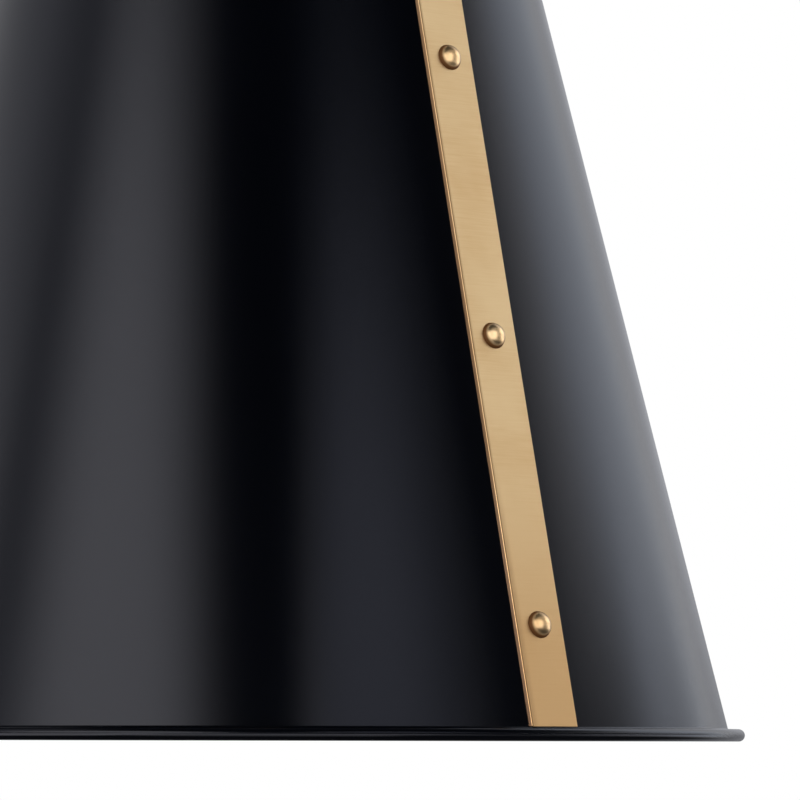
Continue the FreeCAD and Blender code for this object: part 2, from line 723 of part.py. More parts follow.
# Swivel housing: a cap on the canopy and a cup that screws onto it and carries the fork
cap_flat = dim.cap_thickness - dim.cap_edge
cap_turning = turned("swivel_cap_turning", [
    (thread_hole, 0), (dim.cap_radius, 0), (dim.cap_radius, -cap_flat),
    (dim.cap_radius - dim.cap_edge, -dim.cap_thickness, -dim.cap_edge),
    (dim.spigot_radius, -dim.cap_thickness),
    (dim.spigot_radius, -dim.cap_thickness - dim.spigot_length),
    (thread_hole, -dim.cap_thickness - dim.spigot_length)])
spigot_end = -dim.cap_thickness - dim.spigot_length
pin_hole = cylinder("stop_pin_hole", dim.stop_pin_radius, dim.stop_pin_seat + PAST,
                    x=dim.stop_radius, z=spigot_end - PAST)
node(place(cut("swivel_cap", cap_turning, [pin_hole]), z=cap_top))
stop_pin = cylinder("swivel_stop_pin", dim.stop_pin_radius, dim.stop_pin_seat + dim.stop_pin_reach,
                    x=dim.stop_radius, z=cap_top + spigot_end - dim.stop_pin_reach)
node(stop_pin)
cup_bore = dim.spigot_radius + dim.thread_play
lip_bore = dim.neck_radius + dim.neck_play
cup = turned("swivel_cup", [
    (cup_bore, 0), (dim.swivel_radius, 0), (dim.swivel_radius, -cup_length),
    (lip_bore, -cup_length), (lip_bore, dim.cup_lip - cup_length),
    (cup_bore, dim.cup_lip - cup_length)])
node(place(cup, z=cup_top))

# Canopy and crossbar
slot_offset = derived("slot_offset", dim.slot_spacing / 2)
pad_start = derived("pad_start", slot_offset - dim.slot_length / 2 - dim.slot_margin)
flat_half = derived("flat_half", pad_start - dim.bar_run)
bar_half = derived("bar_half", dim.canopy_diameter / 2 - dim.canopy_sheet - dim.bar_end_gap)
leg_length = root(dim.bar_run * dim.bar_run + dim.bar_drop * dim.bar_drop)
bend_shift = derived("bend_shift", (
    dim.bar_thickness * (leg_length - dim.bar_run) / dim.bar_drop))
stud_offset = derived("stud_offset", flat_half - dim.stud_margin - dim.screw_head_radius)
bar_bottom = derived("bar_bottom", -dim.bar_drop - dim.bar_thickness)
pad_bottom = -dim.bar_thickness
crossbar_stock = bar("crossbar_stock", [
    (-bar_half, 0), (-pad_start, 0), (-flat_half, -dim.bar_drop), (flat_half, -dim.bar_drop),
    (pad_start, 0), (bar_half, 0), (bar_half, pad_bottom), (pad_start + bend_shift, pad_bottom),
    (flat_half + bend_shift, bar_bottom), (-flat_half - bend_shift, bar_bottom),
    (-pad_start - bend_shift, pad_bottom), (-bar_half, pad_bottom)], dim.bar_width)
stud_hole = dim.stud_radius + dim.thread_play
bar_cut = dim.bar_thickness + 2 * PAST
crossbar_cutters = [cylinder("bar_wire_hole", dim.wire_hole_radius, bar_cut, z=bar_bottom - PAST),
                    cylinder("bar_ground_hole", stud_hole, bar_cut,
                             x=-dim.ground_screw_offset, z=bar_bottom - PAST)]
for side, sign in (("left", -1), ("right", 1)):
    half_slot = dim.slot_length / 2 - dim.slot_width / 2
    middle = sign * slot_offset
    crossbar_cutters += [
        block(f"bar_slot_{side}", 2 * half_slot, dim.slot_width, bar_cut,
              x=middle, z=pad_bottom - PAST),
        cylinder(f"bar_slot_{side}_near", dim.slot_width / 2, bar_cut,
                 x=middle - half_slot, z=pad_bottom - PAST),
        cylinder(f"bar_slot_{side}_far", dim.slot_width / 2, bar_cut,
                 x=middle + half_slot, z=pad_bottom - PAST),
        cylinder(f"bar_stud_hole_{side}", stud_hole, bar_cut,
                 x=sign * stud_offset, z=bar_bottom - PAST)]
node(place(cut("crossbar", crossbar_stock, crossbar_cutters)))

canopy_cup = pressed_cup("canopy_pressing", dim.canopy_diameter / 2, dim.canopy_depth,
                         dim.canopy_corner, dim.canopy_sheet, clear_hole, 1)
canopy_holes = [
    cylinder(f"canopy_stud_hole_{side}", dim.stud_radius + dim.hole_play,
             dim.canopy_sheet + 2 * PAST, x=sign * stud_offset, z=-dim.canopy_depth - PAST)
    for side, sign in (("left", -1), ("right", 1))]
node(place(cut("canopy", canopy_cup, canopy_holes)))

stud_length = dim.canopy_depth - dim.bar_drop + dim.stud_tail
ball_drop = derived("ball_drop", dim.cap_nut_neck + root(
    dim.cap_nut_radius * dim.cap_nut_radius - dim.cap_nut_neck_radius * dim.cap_nut_neck_radius))
nut_depth = dim.stud_tail + dim.cap_nut_end_gap
studs = []
cap_nuts = []
for side, sign in (("left", -1), ("right", 1)):
    stud = screw("canopy_stud_" + side, dim.screw_head_radius, dim.screw_head_height,
                 dim.stud_radius, stud_length)
    studs.append(place(stud, x=sign * stud_offset, z=-dim.bar_drop))
    cap_nut = turned("canopy_cap_nut_" + side, [
        (stud_hole, 0), (dim.cap_nut_neck_radius, 0), (dim.cap_nut_neck_radius, -dim.cap_nut_neck),
        (dim.cap_nut_radius, -ball_drop, -dim.cap_nut_radius),
        (0, -ball_drop - dim.cap_nut_radius, -dim.cap_nut_radius),
        (0, -nut_depth), (stud_hole, -nut_depth)])
    cap_nuts.append(place(cap_nut, x=sign * stud_offset, z=cap_top))
node(group("canopy_studs", studs))
node(group("canopy_cap_nuts", cap_nuts))
ground_screw = screw("ground_screw", dim.screw_head_radius, dim.screw_head_height,
                     dim.stud_radius, dim.ground_screw_length)
node(place(ground_screw, x=-dim.ground_screw_offset, z=bar_bottom, tip=180))

canopy_washer_top = cap_top + dim.canopy_sheet + dim.washer_thickness
canopy_nut_top = canopy_washer_top + dim.nut_height
canopy_nipple_top = canopy_nut_top + dim.canopy_nipple_stand
node(place(tube("canopy_washer", clear_hole, dim.washer_radius, dim.washer_thickness),
           z=canopy_washer_top))
node(place(hex_nut("canopy_nut", thread_hole, dim.nut_corner_radius, dim.nut_height),
           z=canopy_nut_top))
canopy_nipple_bottom = cap_top + spigot_end + dim.canopy_nipple_sink
node(place(tube("canopy_nipple", dim.thread_bore, dim.thread_radius,
                canopy_nipple_top - canopy_nipple_bottom), z=canopy_nipple_top))

# Lamp holder, inside a husk on the end of the centre nipple
node(place(hex_nut("husk_nut", thread_hole, dim.nut_corner_radius, dim.nut_height),
           z=husk_nut_top))
husk = pressed_cup("husk", dim.husk_radius, dim.husk_length, dim.husk_corner, dim.husk_sheet,
                   clear_hole, -1)
node(place(husk, z=husk_top - dim.husk_length))
holder_screw_hole = dim.holder_screw_radius + dim.thread_play
cap_stock = tube("holder_cap_stock", thread_hole, dim.holder_cap_radius, dim.holder_cap_thickness)
cap_holes = [
    cylinder(f"holder_cap_hole_{side}", holder_screw_hole, dim.holder_cap_thickness + 2 * PAST,
             x=sign * dim.holder_screw_circle, z=-dim.holder_cap_thickness - PAST)
    for side, sign in (("left", -1), ("right", 1))]
node(place(cut("holder_cap", cap_stock, cap_holes), z=holder_cap_top))

shell_outside = derived("shell_outside", dim.shell_radius + dim.ridge_depth + dim.shell_sheet)
holder_bore = shell_outside + dim.shell_play
contact_hole = dim.contact_shank_radius + dim.thread_play
holder_stock = turned("holder_stock", [
    (contact_hole, 0), (dim.holder_radius - dim.holder_edge, 0),
    (dim.holder_radius, -dim.holder_edge, -dim.holder_edge),
    (dim.holder_radius, -dim.holder_length), (holder_bore, -dim.holder_length),
    (holder_bore, -dim.holder_floor), (contact_hole, -dim.holder_floor)])
holder_cutters = []
holder_screws = []
terminal_screws = []
terminal_height = holder_top - dim.terminal_drop
terminal_hole_depth = dim.terminal_depth + dim.terminal_end_gap
for side, sign, tip in (("left", -1, -90), ("right", 1, 90)):
    holder_cutters += [
        cylinder(f"holder_hole_{side}", holder_screw_hole, dim.holder_floor + 2 * PAST,
                 x=sign * dim.holder_screw_circle, z=-dim.holder_floor - PAST),
        cylinder(f"terminal_hole_{side}", dim.terminal_shank_radius + dim.thread_play,
                 terminal_hole_depth + PAST, x=sign * (dim.holder_radius - terminal_hole_depth),
                 z=-dim.terminal_drop, tip=tip)]
    holder_screw = screw(f"holder_screw_{side}", dim.holder_screw_head_radius,
                         dim.holder_screw_head_height, dim.holder_screw_radius,
                         dim.holder_screw_length)
    holder_screws.append(place(holder_screw, x=sign * dim.holder_screw_circle,
                               z=holder_top - dim.holder_floor, tip=180))
    terminal = screw(f"terminal_screw_{side}", dim.terminal_head_radius, dim.terminal_head_height,
                     dim.terminal_shank_radius, dim.terminal_depth)
    terminal_screws.append(place(terminal, x=sign * dim.holder_radius, z=terminal_height, tip=tip))
node(place(cut("lamp_holder", holder_stock, holder_cutters), z=holder_top))
node(group("holder_screws", holder_screws))
node(group("terminal_screws", terminal_screws))

holder_ceiling = derived("holder_ceiling", holder_top - dim.holder_floor)
shank_height = dim.holder_floor - dim.contact_shank_sink
centre_contact = turned("centre_contact", [
    (0, -dim.contact_thickness), (dim.contact_radius, -dim.contact_thickness),
    (dim.contact_radius, 0), (dim.contact_shank_radius, 0),
    (dim.contact_shank_radius, shank_height), (0, shank_height)])
node(place(centre_contact, z=holder_ceiling))


def ridges(crest, top, count, thickness):
    """Both sides of a ridged sheet, top to bottom outside and back up inside.

    Closed rings stand in for the thread.
    """
    half_pitch = dim.ridge_pitch / 2
    outside = [(crest - (index % 2) * dim.ridge_depth, top - index * half_pitch)
               for index in range(2 * count + 1)]
    inside = [(radius - thickness, height) for radius, height in reversed(outside)]
    return outside, inside


shell_out, shell_in = ridges(shell_outside, -dim.shell_flange, SHELL_RIDGES, dim.shell_sheet)
shell = turned("screw_shell", [
    (dim.shell_radius - dim.shell_flange, 0), (shell_outside, 0), *shell_out, *shell_in,
    (shell_outside - dim.shell_sheet, -dim.shell_sheet),
    (dim.shell_radius - dim.shell_flange, -dim.shell_sheet)])
node(place(shell, z=holder_ceiling))

# Bulb: it unscrews downwards
bulb_top = derived("bulb_top", holder_ceiling - dim.contact_thickness - dim.bulb_gap)
cap_start = derived("cap_start", -dim.bulb_tip_thickness - dim.bulb_insulator_height)
bulb_contact = turned("bulb_contact", [
    (0, 0), (dim.bulb_tip_radius - dim.bulb_tip_thickness / 2, 0),
    (dim.bulb_tip_radius, -dim.bulb_tip_thickness), (0, -dim.bulb_tip_thickness)])
node(place(bulb_contact, z=bulb_top))
bulb_insulator = turned("bulb_insulator", [
    (0, -dim.bulb_tip_thickness),
    (dim.bulb_tip_radius + dim.bulb_insulator_ledge, -dim.bulb_tip_thickness),
    (dim.bulb_insulator_radius, cap_start), (0, cap_start)])
node(place(bulb_insulator, z=bulb_top))
ridges_top = derived("ridges_top", cap_start - dim.ridge_pitch / 2)
skirt_end = derived("skirt_end", ridges_top - CAP_RIDGES * dim.ridge_pitch - dim.bulb_skirt)
cap_out, cap_in = ridges(dim.bulb_cap_radius, ridges_top, CAP_RIDGES, dim.bulb_cap_sheet)
cap_lip = dim.bulb_insulator_radius - dim.bulb_cap_lip
bulb_cap = turned("bulb_cap", [
    (cap_lip, cap_start), (dim.bulb_cap_radius - dim.ridge_depth, cap_start), *cap_out,
    (dim.bulb_cap_radius, skirt_end), (dim.bulb_cap_radius - dim.bulb_cap_sheet, skirt_end),
    *cap_in, (cap_lip, cap_start - dim.bulb_cap_sheet)])
node(place(bulb_cap, z=bulb_top))

neck_top = skirt_end - dim.bulb_neck_gap
globe_centre = derived("globe_centre", dim.bulb_radius - dim.bulb_length)
rise_share = derived("rise_share", root(1 - dim.bulb_shoulder * dim.bulb_shoulder))
neck_sweep = derived("neck_sweep", (
    (neck_top - globe_centre - dim.bulb_radius * rise_share) / rise_share))
neck_radius = derived("bulb_neck_radius", (
    (dim.bulb_radius + neck_sweep) * dim.bulb_shoulder - neck_sweep))
inner_globe = dim.bulb_radius - dim.bulb_glass
stem_top = skirt_end + dim.bulb_stem_length
glass = turned("bulb_glass", [
    (dim.bulb_stem_radius, stem_top), (dim.bulb_stem_radius, skirt_end), (neck_radius, neck_top),
    (dim.bulb_radius * dim.bulb_shoulder, globe_centre + dim.bulb_radius * rise_share, neck_sweep),
    (dim.bulb_radius, globe_centre, -dim.bulb_radius),
    (0, globe_centre - dim.bulb_radius, -dim.bulb_radius),
    (0, globe_centre - inner_globe),
    (inner_globe, globe_centre, inner_globe),
    (inner_globe * dim.bulb_shoulder, globe_centre + inner_globe * rise_share, inner_globe),
    (neck_radius - dim.bulb_glass, neck_top, -(neck_sweep + dim.bulb_glass)),
    (dim.bulb_stem_radius - dim.bulb_glass, skirt_end),
    (dim.bulb_stem_radius - dim.bulb_glass, stem_top)])
node(place(glass, z=bulb_top))

# Every feature has to be sound before anything is written
doc.recompute()
for feature in doc.Objects:
    if "Invalid" in feature.State or "Error" in feature.State:
        raise RuntimeError(f"{feature.Label} failed: {feature.State}")
for piece in nodes:
    if piece.Shape.isNull() or not piece.Shape.isValid() or not piece.Shape.Solids:
        raise RuntimeError(f"{piece.Label} has no sound shape")
os.makedirs("parts", exist_ok=True)
for piece in nodes:
    piece.Shape.exportStep(f"parts/{piece.Label}.step")
print(f"{len(nodes)} nodes, {sum(len(piece.Shape.Solids) for piece in nodes)} solids")
print(f"the rim hangs {-shade_foot.number:.1f} mm below the ceiling")
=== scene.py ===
# %% [markdown]
# A stem-hung pendant lamp with a tall black cone of a shade, held by three riveted brass straps.
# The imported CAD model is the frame: it gives every part's size and place. This notebook adds the
# looks: smooth shapes with worked edges, paint, aged brass, glass and a studio to see them in.
# Shapes are modelled in millimetres and brought to metres at the end, because some of Blender's
# mesh tools have fixed tolerances that are too coarse for a lamp that is measured in metres.

import json
import math

import bmesh
import bpy
from mathutils import Matrix, Vector


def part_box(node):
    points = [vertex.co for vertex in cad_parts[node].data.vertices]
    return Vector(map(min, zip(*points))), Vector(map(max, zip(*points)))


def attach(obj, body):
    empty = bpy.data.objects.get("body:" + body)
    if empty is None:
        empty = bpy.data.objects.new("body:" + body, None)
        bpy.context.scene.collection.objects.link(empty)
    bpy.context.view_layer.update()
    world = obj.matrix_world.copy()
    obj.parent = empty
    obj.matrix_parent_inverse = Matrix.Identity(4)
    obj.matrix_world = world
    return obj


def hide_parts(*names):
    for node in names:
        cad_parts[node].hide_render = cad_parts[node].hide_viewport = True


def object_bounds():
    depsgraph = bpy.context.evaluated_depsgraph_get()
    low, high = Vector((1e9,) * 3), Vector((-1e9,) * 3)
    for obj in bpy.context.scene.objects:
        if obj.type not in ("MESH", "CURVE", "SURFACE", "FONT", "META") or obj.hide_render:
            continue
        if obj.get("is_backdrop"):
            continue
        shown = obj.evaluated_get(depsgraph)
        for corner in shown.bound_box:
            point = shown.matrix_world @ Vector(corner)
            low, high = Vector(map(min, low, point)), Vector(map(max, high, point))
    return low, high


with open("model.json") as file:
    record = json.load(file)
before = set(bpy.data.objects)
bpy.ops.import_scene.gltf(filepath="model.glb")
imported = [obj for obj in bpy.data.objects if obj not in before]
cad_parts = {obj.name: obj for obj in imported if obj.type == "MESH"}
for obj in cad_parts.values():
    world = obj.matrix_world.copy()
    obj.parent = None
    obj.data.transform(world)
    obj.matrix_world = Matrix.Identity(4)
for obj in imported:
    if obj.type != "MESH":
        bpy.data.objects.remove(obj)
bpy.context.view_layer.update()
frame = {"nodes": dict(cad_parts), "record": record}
MM = 0.001

# %% [markdown]
# The camera comes first, because it decides what has to look right. The photograph is a close
# view of the shade's lower right part through a long lens. A camera that far away keeps upright
# edges almost parallel. Its place and turn were worked out from the cone's outline, the rim and
# the spacing of the rivets.

# %% Camera
CAMERA_PLACE = Vector((0, -2.0, -0.91231))
CAMERA_YAW = 0.0338
CAMERA_PITCH = 0.0800
CAMERA_ROLL = 0.0021
CAMERA_LENS = 191.58

ahead = Vector((math.sin(CAMERA_YAW) * math.cos(CAMERA_PITCH),
                math.cos(CAMERA_YAW) * math.cos(CAMERA_PITCH), math.sin(CAMERA_PITCH)))
across = Vector((math.cos(CAMERA_YAW), -math.sin(CAMERA_YAW), 0))
upward = across.cross(ahead)
right_side = across * math.cos(CAMERA_ROLL) + upward * math.sin(CAMERA_ROLL)
top_side = upward * math.cos(CAMERA_ROLL) - across * math.sin(CAMERA_ROLL)
camera = bpy.data.objects.new("camera", bpy.data.cameras.new("camera"))
bpy.context.scene.collection.objects.link(camera)
camera.data.sensor_width = 36
camera.data.lens = CAMERA_LENS
camera.data.clip_end = 100
turned_axes = Matrix((right_side, top_side, -ahead)).transposed()
camera.matrix_world = Matrix.Translation(CAMERA_PLACE) @ turned_axes.to_4x4()
bpy.context.scene.camera = camera
bpy.context.scene.view_settings.view_transform = "Standard"
print("the camera looks", round(math.degrees(CAMERA_PITCH), 2), "degrees upwards")

# %% [markdown]
# Materials are graphs of nodes. Wiring dozens of them by hand hides the idea, so a small class
# wraps a socket: adding or multiplying two wrapped sockets adds the Math node for it, and one
# method adds any other node with its settings and inputs.

# %% Wires between nodes


class Wire:
    """A socket in a node tree. Arithmetic on wires adds Math nodes."""

    def __init__(self, tree, socket=None):
        self.tree = tree
        self.socket = socket

    def make(self, kind, inputs=(), output=0, **settings):
        """Add a node: settings first, then the value or wire of each socket."""
        node = self.tree.nodes.new(kind)
        for name, value in settings.items():
            setattr(node, name, value)
        for name, value in dict(inputs).items():
            if isinstance(value, Wire):
                self.tree.links.new(value.socket, node.inputs[name])
            else:
                node.inputs[name].default_value = value
        return Wire(self.tree, node.outputs[output])

    def math(self, operation, *values):
        return self.make("ShaderNodeMath", enumerate(values), operation=operation)

    def __add__(self, other):
        return self.math("ADD", self, other)

    def __sub__(self, other):
        return self.math("SUBTRACT", self, other)

    def __mul__(self, other):
        return self.math("MULTIPLY", self, other)

    def __rsub__(self, other):
        return self.math("SUBTRACT", other, self)

    __radd__ = __add__
    __rmul__ = __mul__

    def between(self, low, high):
        """0 below low, 1 above high, and a smooth rise from one to the other."""
        return self.make("ShaderNodeMapRange", {0: self, 1: low, 2: high},
                         interpolation_type="SMOOTHSTEP")

    def parts(self):
        """The x, y and z of a vector."""
        split = self.make("ShaderNodeSeparateXYZ", {0: self}).socket.node
        return [Wire(self.tree, socket) for socket in split.outputs]

    def blend(self, first, second):
        """Mix two colours, with this value as the share of the second."""
        return self.make("ShaderNodeMix", {0: self, 6: first, 7: second}, 2, data_type="RGBA")


def colour(red, green, blue):
    """A colour in linear light, with its alpha."""
    return (red, green, blue, 1)


def start_material(name):
    """A new material, with a wire to build its nodes from and its output node."""
    material = bpy.data.materials.new(name)
    material.use_nodes = True
    material.node_tree.nodes.clear()
    output = material.node_tree.nodes.new("ShaderNodeOutputMaterial")
    return material, Wire(material.node_tree), output


def surface(name, sockets, wire, output):
    """End a material with a Principled BSDF that has these sockets."""
    shader = wire.make("ShaderNodeBsdfPrincipled", sockets)
    wire.tree.links.new(shader.socket, output.inputs["Surface"])
    print("material", name, "has", len(wire.tree.nodes), "nodes")


print("wires ready")

# %% [markdown]
# The studio. The photograph has a pure white ground, and a black gloss shows everything round
# it: a bright field on the left, a dark band where the camera stands, a narrower bright field on
# the right, and the white backdrop beyond. A real studio does this with black flags. Here the
# world is white to the camera and to reflections, and curved flags that only reflections can see
# leave those fields open. Without its own light sampling, the world is found by the rays that
# leave a surface, so each kind of ray gets its own level.

# %% World
FILL_LEVEL = 0.6

world = bpy.data.worlds.new("studio")
bpy.context.scene.world = world
world.use_nodes = True
world.cycles.sampling_method = "NONE"
world.node_tree.nodes.clear()
sky = Wire(world.node_tree)
rays = sky.make("ShaderNodeLightPath").socket.node
seen = Wire(sky.tree, rays.outputs["Is Camera Ray"])
for kind in ("Is Glossy Ray", "Is Transmission Ray"):
    seen = seen.math("MAXIMUM", seen, Wire(sky.tree, rays.outputs[kind]))
level = FILL_LEVEL + (1 - FILL_LEVEL) * seen
background = sky.make("ShaderNodeBackground", {"Color": colour(1, 1, 1), "Strength": level})
world_output = world.node_tree.nodes.new("ShaderNodeOutputWorld")
world.node_tree.links.new(background.socket, world_output.inputs["Surface"])
print("fill light from all round:", FILL_LEVEL)

# %% Flags
# Each has a distance in metres, four azimuths from the front and four elevations in degrees,
# and a level of grey. The four angles are where it starts, where it is full, where it starts to
# fade and where it ends. No two are equally far off, because a ray that leaves one would miss
# the other.
FLAG_CENTRE = Vector((0, 0, -0.75))
FLAG_MESH = (48, 16)  # faces across and up
FLAGS = {
    "sill_flag": (5.8, (-16, 0, 56, 76), (2, 9, 16, 23), 0.03),
    "gap_flag": (5.9, (34, 60, 64, 90), (-50, -36, 0, 8), 0.05),
    "rim_card": (5.95, (62, 78, 84, 118), (-22, -8, 2, 9), 0.5),
    "middle_flag": (6.0, (-38, -9, 10, 29), (14, 22, 60, 64), 0),
    "right_flag": (6.1, (25, 61, 62, 126), (5, 12, 60, 64), 0),
    "side_flag": (6.15, (88, 106, 118, 142), (-8, 0, 6, 15), 0.4),
    "low_right_flag": (6.2, (62, 78, 90, 125), (3, 9, 14, 20), 0.01),
    "left_flag": (6.3, (-96, -72, -71, -43), (0, 10, 60, 64), 0.23),
    "high_left_flag": (6.35, (-143, -132, -80, -70), (14, 31, 38, 46), 0.37),
    "low_left_flag": (6.4, (-90, -78, -36, -22), (-30, -20, 6, 16), 0.1),
    "front_card": (6.5, (-40, -30, 48, 76), (-30, -20, 6, 16), 0.36),
    "upper_left_flag": (6.6, (-150, -120, -12, 0), (31, 44, 60, 64), 0),
    "upper_right_flag": (6.7, (0, 12, 98, 122), (29, 37, 60, 64), 0.02),
    "rear_flag": (6.8, (127, 149, 215, 232), (-20, -10, 60, 64), 0.64),
    "low_rear_flag": (1.45, (118, 150, 210, 240), (-46, -34, -10, 6), 0.3),
    "top_flag": (6.9, (-180, -179.9, 179.9, 180), (50, 60, 89, 90), 0.03),
    "right_card": (7.1, (10, 20, 48, 70), (2, 16, 60, 64), 0.45),
    "blue_card": (7.2, (92, 114, 130, 150), (-20, -10, 60, 64), 1.08),
    "low_flag": (1.5, (-180, -179.9, 179.9, 180), (-90, -89, -26, -12), 0.03)}
CLOTH = (0.95, 0.97, 1.04)  # the tint of a flag that isn't named below
TINTS = {"right_card": (0.92, 0.96, 1.08), "blue_card": (0.90, 0.965, 1.06)}
# Some flags hang askew: the degrees that the left and right edge move for each degree up,
# from the level and no further than the reach given here.
LEANS = {
    "middle_flag": (-2.0, 1.2), "right_flag": (-1.2, 0.6), "low_right_flag": (0.0, 0.6),
    "left_flag": (-0.8, 0.4), "high_left_flag": (2.2, 0.6), "rear_flag": (-0.8, 0.0)}
LEAN_LEVEL = 32
LEAN_REACH = 10


def around(turn, rise, distance):
    """A place round the lamp, from an azimuth and an elevation in degrees."""
    turn, rise = math.radians(turn), math.radians(rise)
    return FLAG_CENTRE + distance * Vector((
        math.sin(turn) * math.cos(rise), -math.cos(turn) * math.cos(rise), math.sin(rise)))


def stage_piece(name, mesh, material):
    """An object of the stage, from a bmesh in metres."""
    data = bpy.data.meshes.new(name)
    mesh.to_mesh(data)
    mesh.free()
    piece = bpy.data.objects.new(name, data)
    bpy.context.scene.collection.objects.link(piece)
    data.materials.append(material)
    piece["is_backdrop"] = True
    return piece


def askew(name, turn, rise, share):
    """The azimuth of a spot on a flag, moved by the flag's lean."""
    left, right = LEANS.get(name, (0, 0))
    above = max(-LEAN_REACH, min(LEAN_REACH, rise - LEAN_LEVEL))
    return turn + above * (left * (1 - share) + right * share)


def flag(name, distance, turns, rises, grey):
    """A soft-edged panel on a sphere round the lamp, which only reflections see."""
    mesh = bmesh.new()
    bmesh.ops.create_grid(mesh, x_segments=FLAG_MESH[0], y_segments=FLAG_MESH[1],
                              size=0.5)
    angles = mesh.loops.layers.uv.new("angles")
    for vert in mesh.verts:
        vert.co.x = turns[0] + (vert.co.x + 0.5) * (turns[3] - turns[0])
        vert.co.y = rises[0] + (vert.co.y + 0.5) * (rises[3] - rises[0])
    for face in mesh.faces:
        for loop in face.loops:
            loop[angles].uv = loop.vert.co.xy
    for vert in mesh.verts:
        share = (vert.co.x - turns[0]) / (turns[3] - turns[0])
        vert.co = around(askew(name, vert.co.x, vert.co.y, share), vert.co.y, distance)
    material, wire, output = start_material(name)
    turn, rise, _ = wire.make("ShaderNodeUVMap", uv_map="angles").parts()
    cover = turn.between(*turns[:2]) * (1 - turn.between(*turns[2:]))
    cover = cover * rise.between(*rises[:2]) * (1 - rise.between(*rises[2:]))
    clear = wire.make("ShaderNodeBsdfTransparent")
    cloth = wire.make("ShaderNodeEmission", {
        "Color": colour(*TINTS.get(name, CLOTH)), "Strength": grey})
    mix = wire.make("ShaderNodeMixShader", {0: cover, 1: clear, 2: cloth})
    wire.tree.links.new(mix.socket, output.inputs["Surface"])
    piece = stage_piece(name, mesh, material)
    for kind in ("camera", "diffuse", "transmission", "volume_scatter", "shadow"):
        setattr(piece, "visible_" + kind, False)


for name, numbers in FLAGS.items():
    flag(name, *numbers)
print("flags:", ", ".join(FLAGS))

# %% [markdown]
# Three large soft lamps light what isn't glossy. They are hidden from reflections, where the
# fields between the flags do that work. Some finishes need lamps of their own, as a photographer
# exposes metal by itself, so the rest are tied to one finish each by light linking. One from the
# right gives the straps their even glow and lets the rivets cast a shadow, and one from the left
# draws the straps' edges. Three model the rivets' domes: one near the camera, one behind on the
# right and a wide, dim one that fills the rest. Two low ones draw the line of light along the
# rolled rim.

# %% Lamps
# Each has an azimuth and an elevation in degrees, a distance, a width and a height in metres
# and a power in watts.
LAMPS = {
    "key_lamp": (43, 27, 3.8, 1.6, 1.6, 62),
    "side_lamp": (-58, 17, 3.2, 1.8, 1.8, 24),
    "back_lamp": (-168, 28, 3.3, 1.8, 1.8, 30)}
LINKED_LAMPS = {
    "glow_lamp": (76, 26, 2.6, 1.6, 3.8, 16.2),
    "edge_lamp": (-60, 12, 2.6, 2.0, 2.4, 50),
    "rivet_lamp": (5, 6, 1.6, 2.5, 2.5, 19.5),
    "rivet_edge_lamp": (104, 14, 2.4, 1.7, 2.6, 13),
    "rivet_fill_lamp": (52, 30, 2.2, 3.8, 3.2, 15),
    "rim_left_lamp": (-50, -19, 1.4, 1.5, 0.8, 2.9),
    "rim_front_lamp": (2, -29, 1.35, 1.8, 0.6, 1.2)}
LIT_BY = {
    "brushed_brass": ("glow_lamp", "edge_lamp"), "ring_brass": ("glow_lamp",),
    "rivet_brass": ("rivet_lamp", "rivet_edge_lamp", "rivet_fill_lamp"),
    "satin_enamel": ("rim_left_lamp", "rim_front_lamp")}
receivers = {name: bpy.data.collections.new(name) for name in LINKED_LAMPS}


def soft_lamp(name, turn, rise, distance, width, height, power):
    """A rectangular lamp that faces the pendant's middle, unseen by the camera."""
    lamp = bpy.data.objects.new(name, bpy.data.lights.new(name, "AREA"))
    bpy.context.scene.collection.objects.link(lamp)
    lamp.data.shape = "RECTANGLE"
    lamp.data.size = width
    lamp.data.size_y = height
    lamp.data.energy = power
    lamp.location = around(turn, rise, distance)
    lamp.rotation_euler = (FLAG_CENTRE - lamp.location).to_track_quat("-Z", "Y").to_euler()
    lamp.visible_camera = False
    return lamp


for name, numbers in LAMPS.items():
    soft_lamp(name, *numbers).visible_glossy = False
for name, numbers in LINKED_LAMPS.items():
    soft_lamp(name, *numbers).light_linking.receiver_collection = receivers[name]
print("lamps:", ", ".join([*LAMPS, *LINKED_LAMPS]))

# %% [markdown]
# A pendant hangs well above the floor, so the floor is far below and the camera doesn't see it.
# Other views do. It is a wide disc that keeps the lamp's soft shadow in the middle, and turns
# into the white of the backdrop further out, so that no horizon shows. A camera that looks up
# from below sees through it.

# %% Floor
FLOOR_DEPTH = 1.5  # metres under the rim
FLOOR_RADIUS = 14.0
FLOOR_SHADE = 0.82
FLOOR_FADE = (1.0, 4.5)  # metres from the middle, where the board turns into the backdrop

mesh = bmesh.new()
bmesh.ops.create_circle(mesh, cap_ends=True, segments=96, radius=FLOOR_RADIUS)
bmesh.ops.translate(mesh, verts=mesh.verts[:], vec=(0, 0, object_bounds()[0][2] - FLOOR_DEPTH))
material, wire, output = start_material("floor")
spot_x, spot_y, _ = wire.make("ShaderNodeTexCoord", output=3).parts()
distance = wire.math("SQRT", spot_x * spot_x + spot_y * spot_y)
rays = wire.make("ShaderNodeLightPath").socket.node
seen = Wire(wire.tree, rays.outputs["Is Camera Ray"])
for kind in ("Is Glossy Ray", "Is Transmission Ray"):
    seen = seen.math("MAXIMUM", seen, Wire(wire.tree, rays.outputs[kind]))
board = wire.make("ShaderNodeBsdfDiffuse", {"Color": colour(*[FLOOR_SHADE] * 3)})
glow = wire.make("ShaderNodeEmission", {"Color": colour(1, 1, 1), "Strength": 1.0})
far = seen * distance.between(*FLOOR_FADE)
mix = wire.make("ShaderNodeMixShader", {0: far, 1: board, 2: glow})
from_below = wire.make("ShaderNodeNewGeometry", output="Backfacing")
clear = wire.make("ShaderNodeBsdfTransparent")
mix = wire.make("ShaderNodeMixShader", {0: from_below, 1: mix, 2: clear})
wire.tree.links.new(mix.socket, output.inputs["Surface"])
stage_piece("floor", mesh, material)
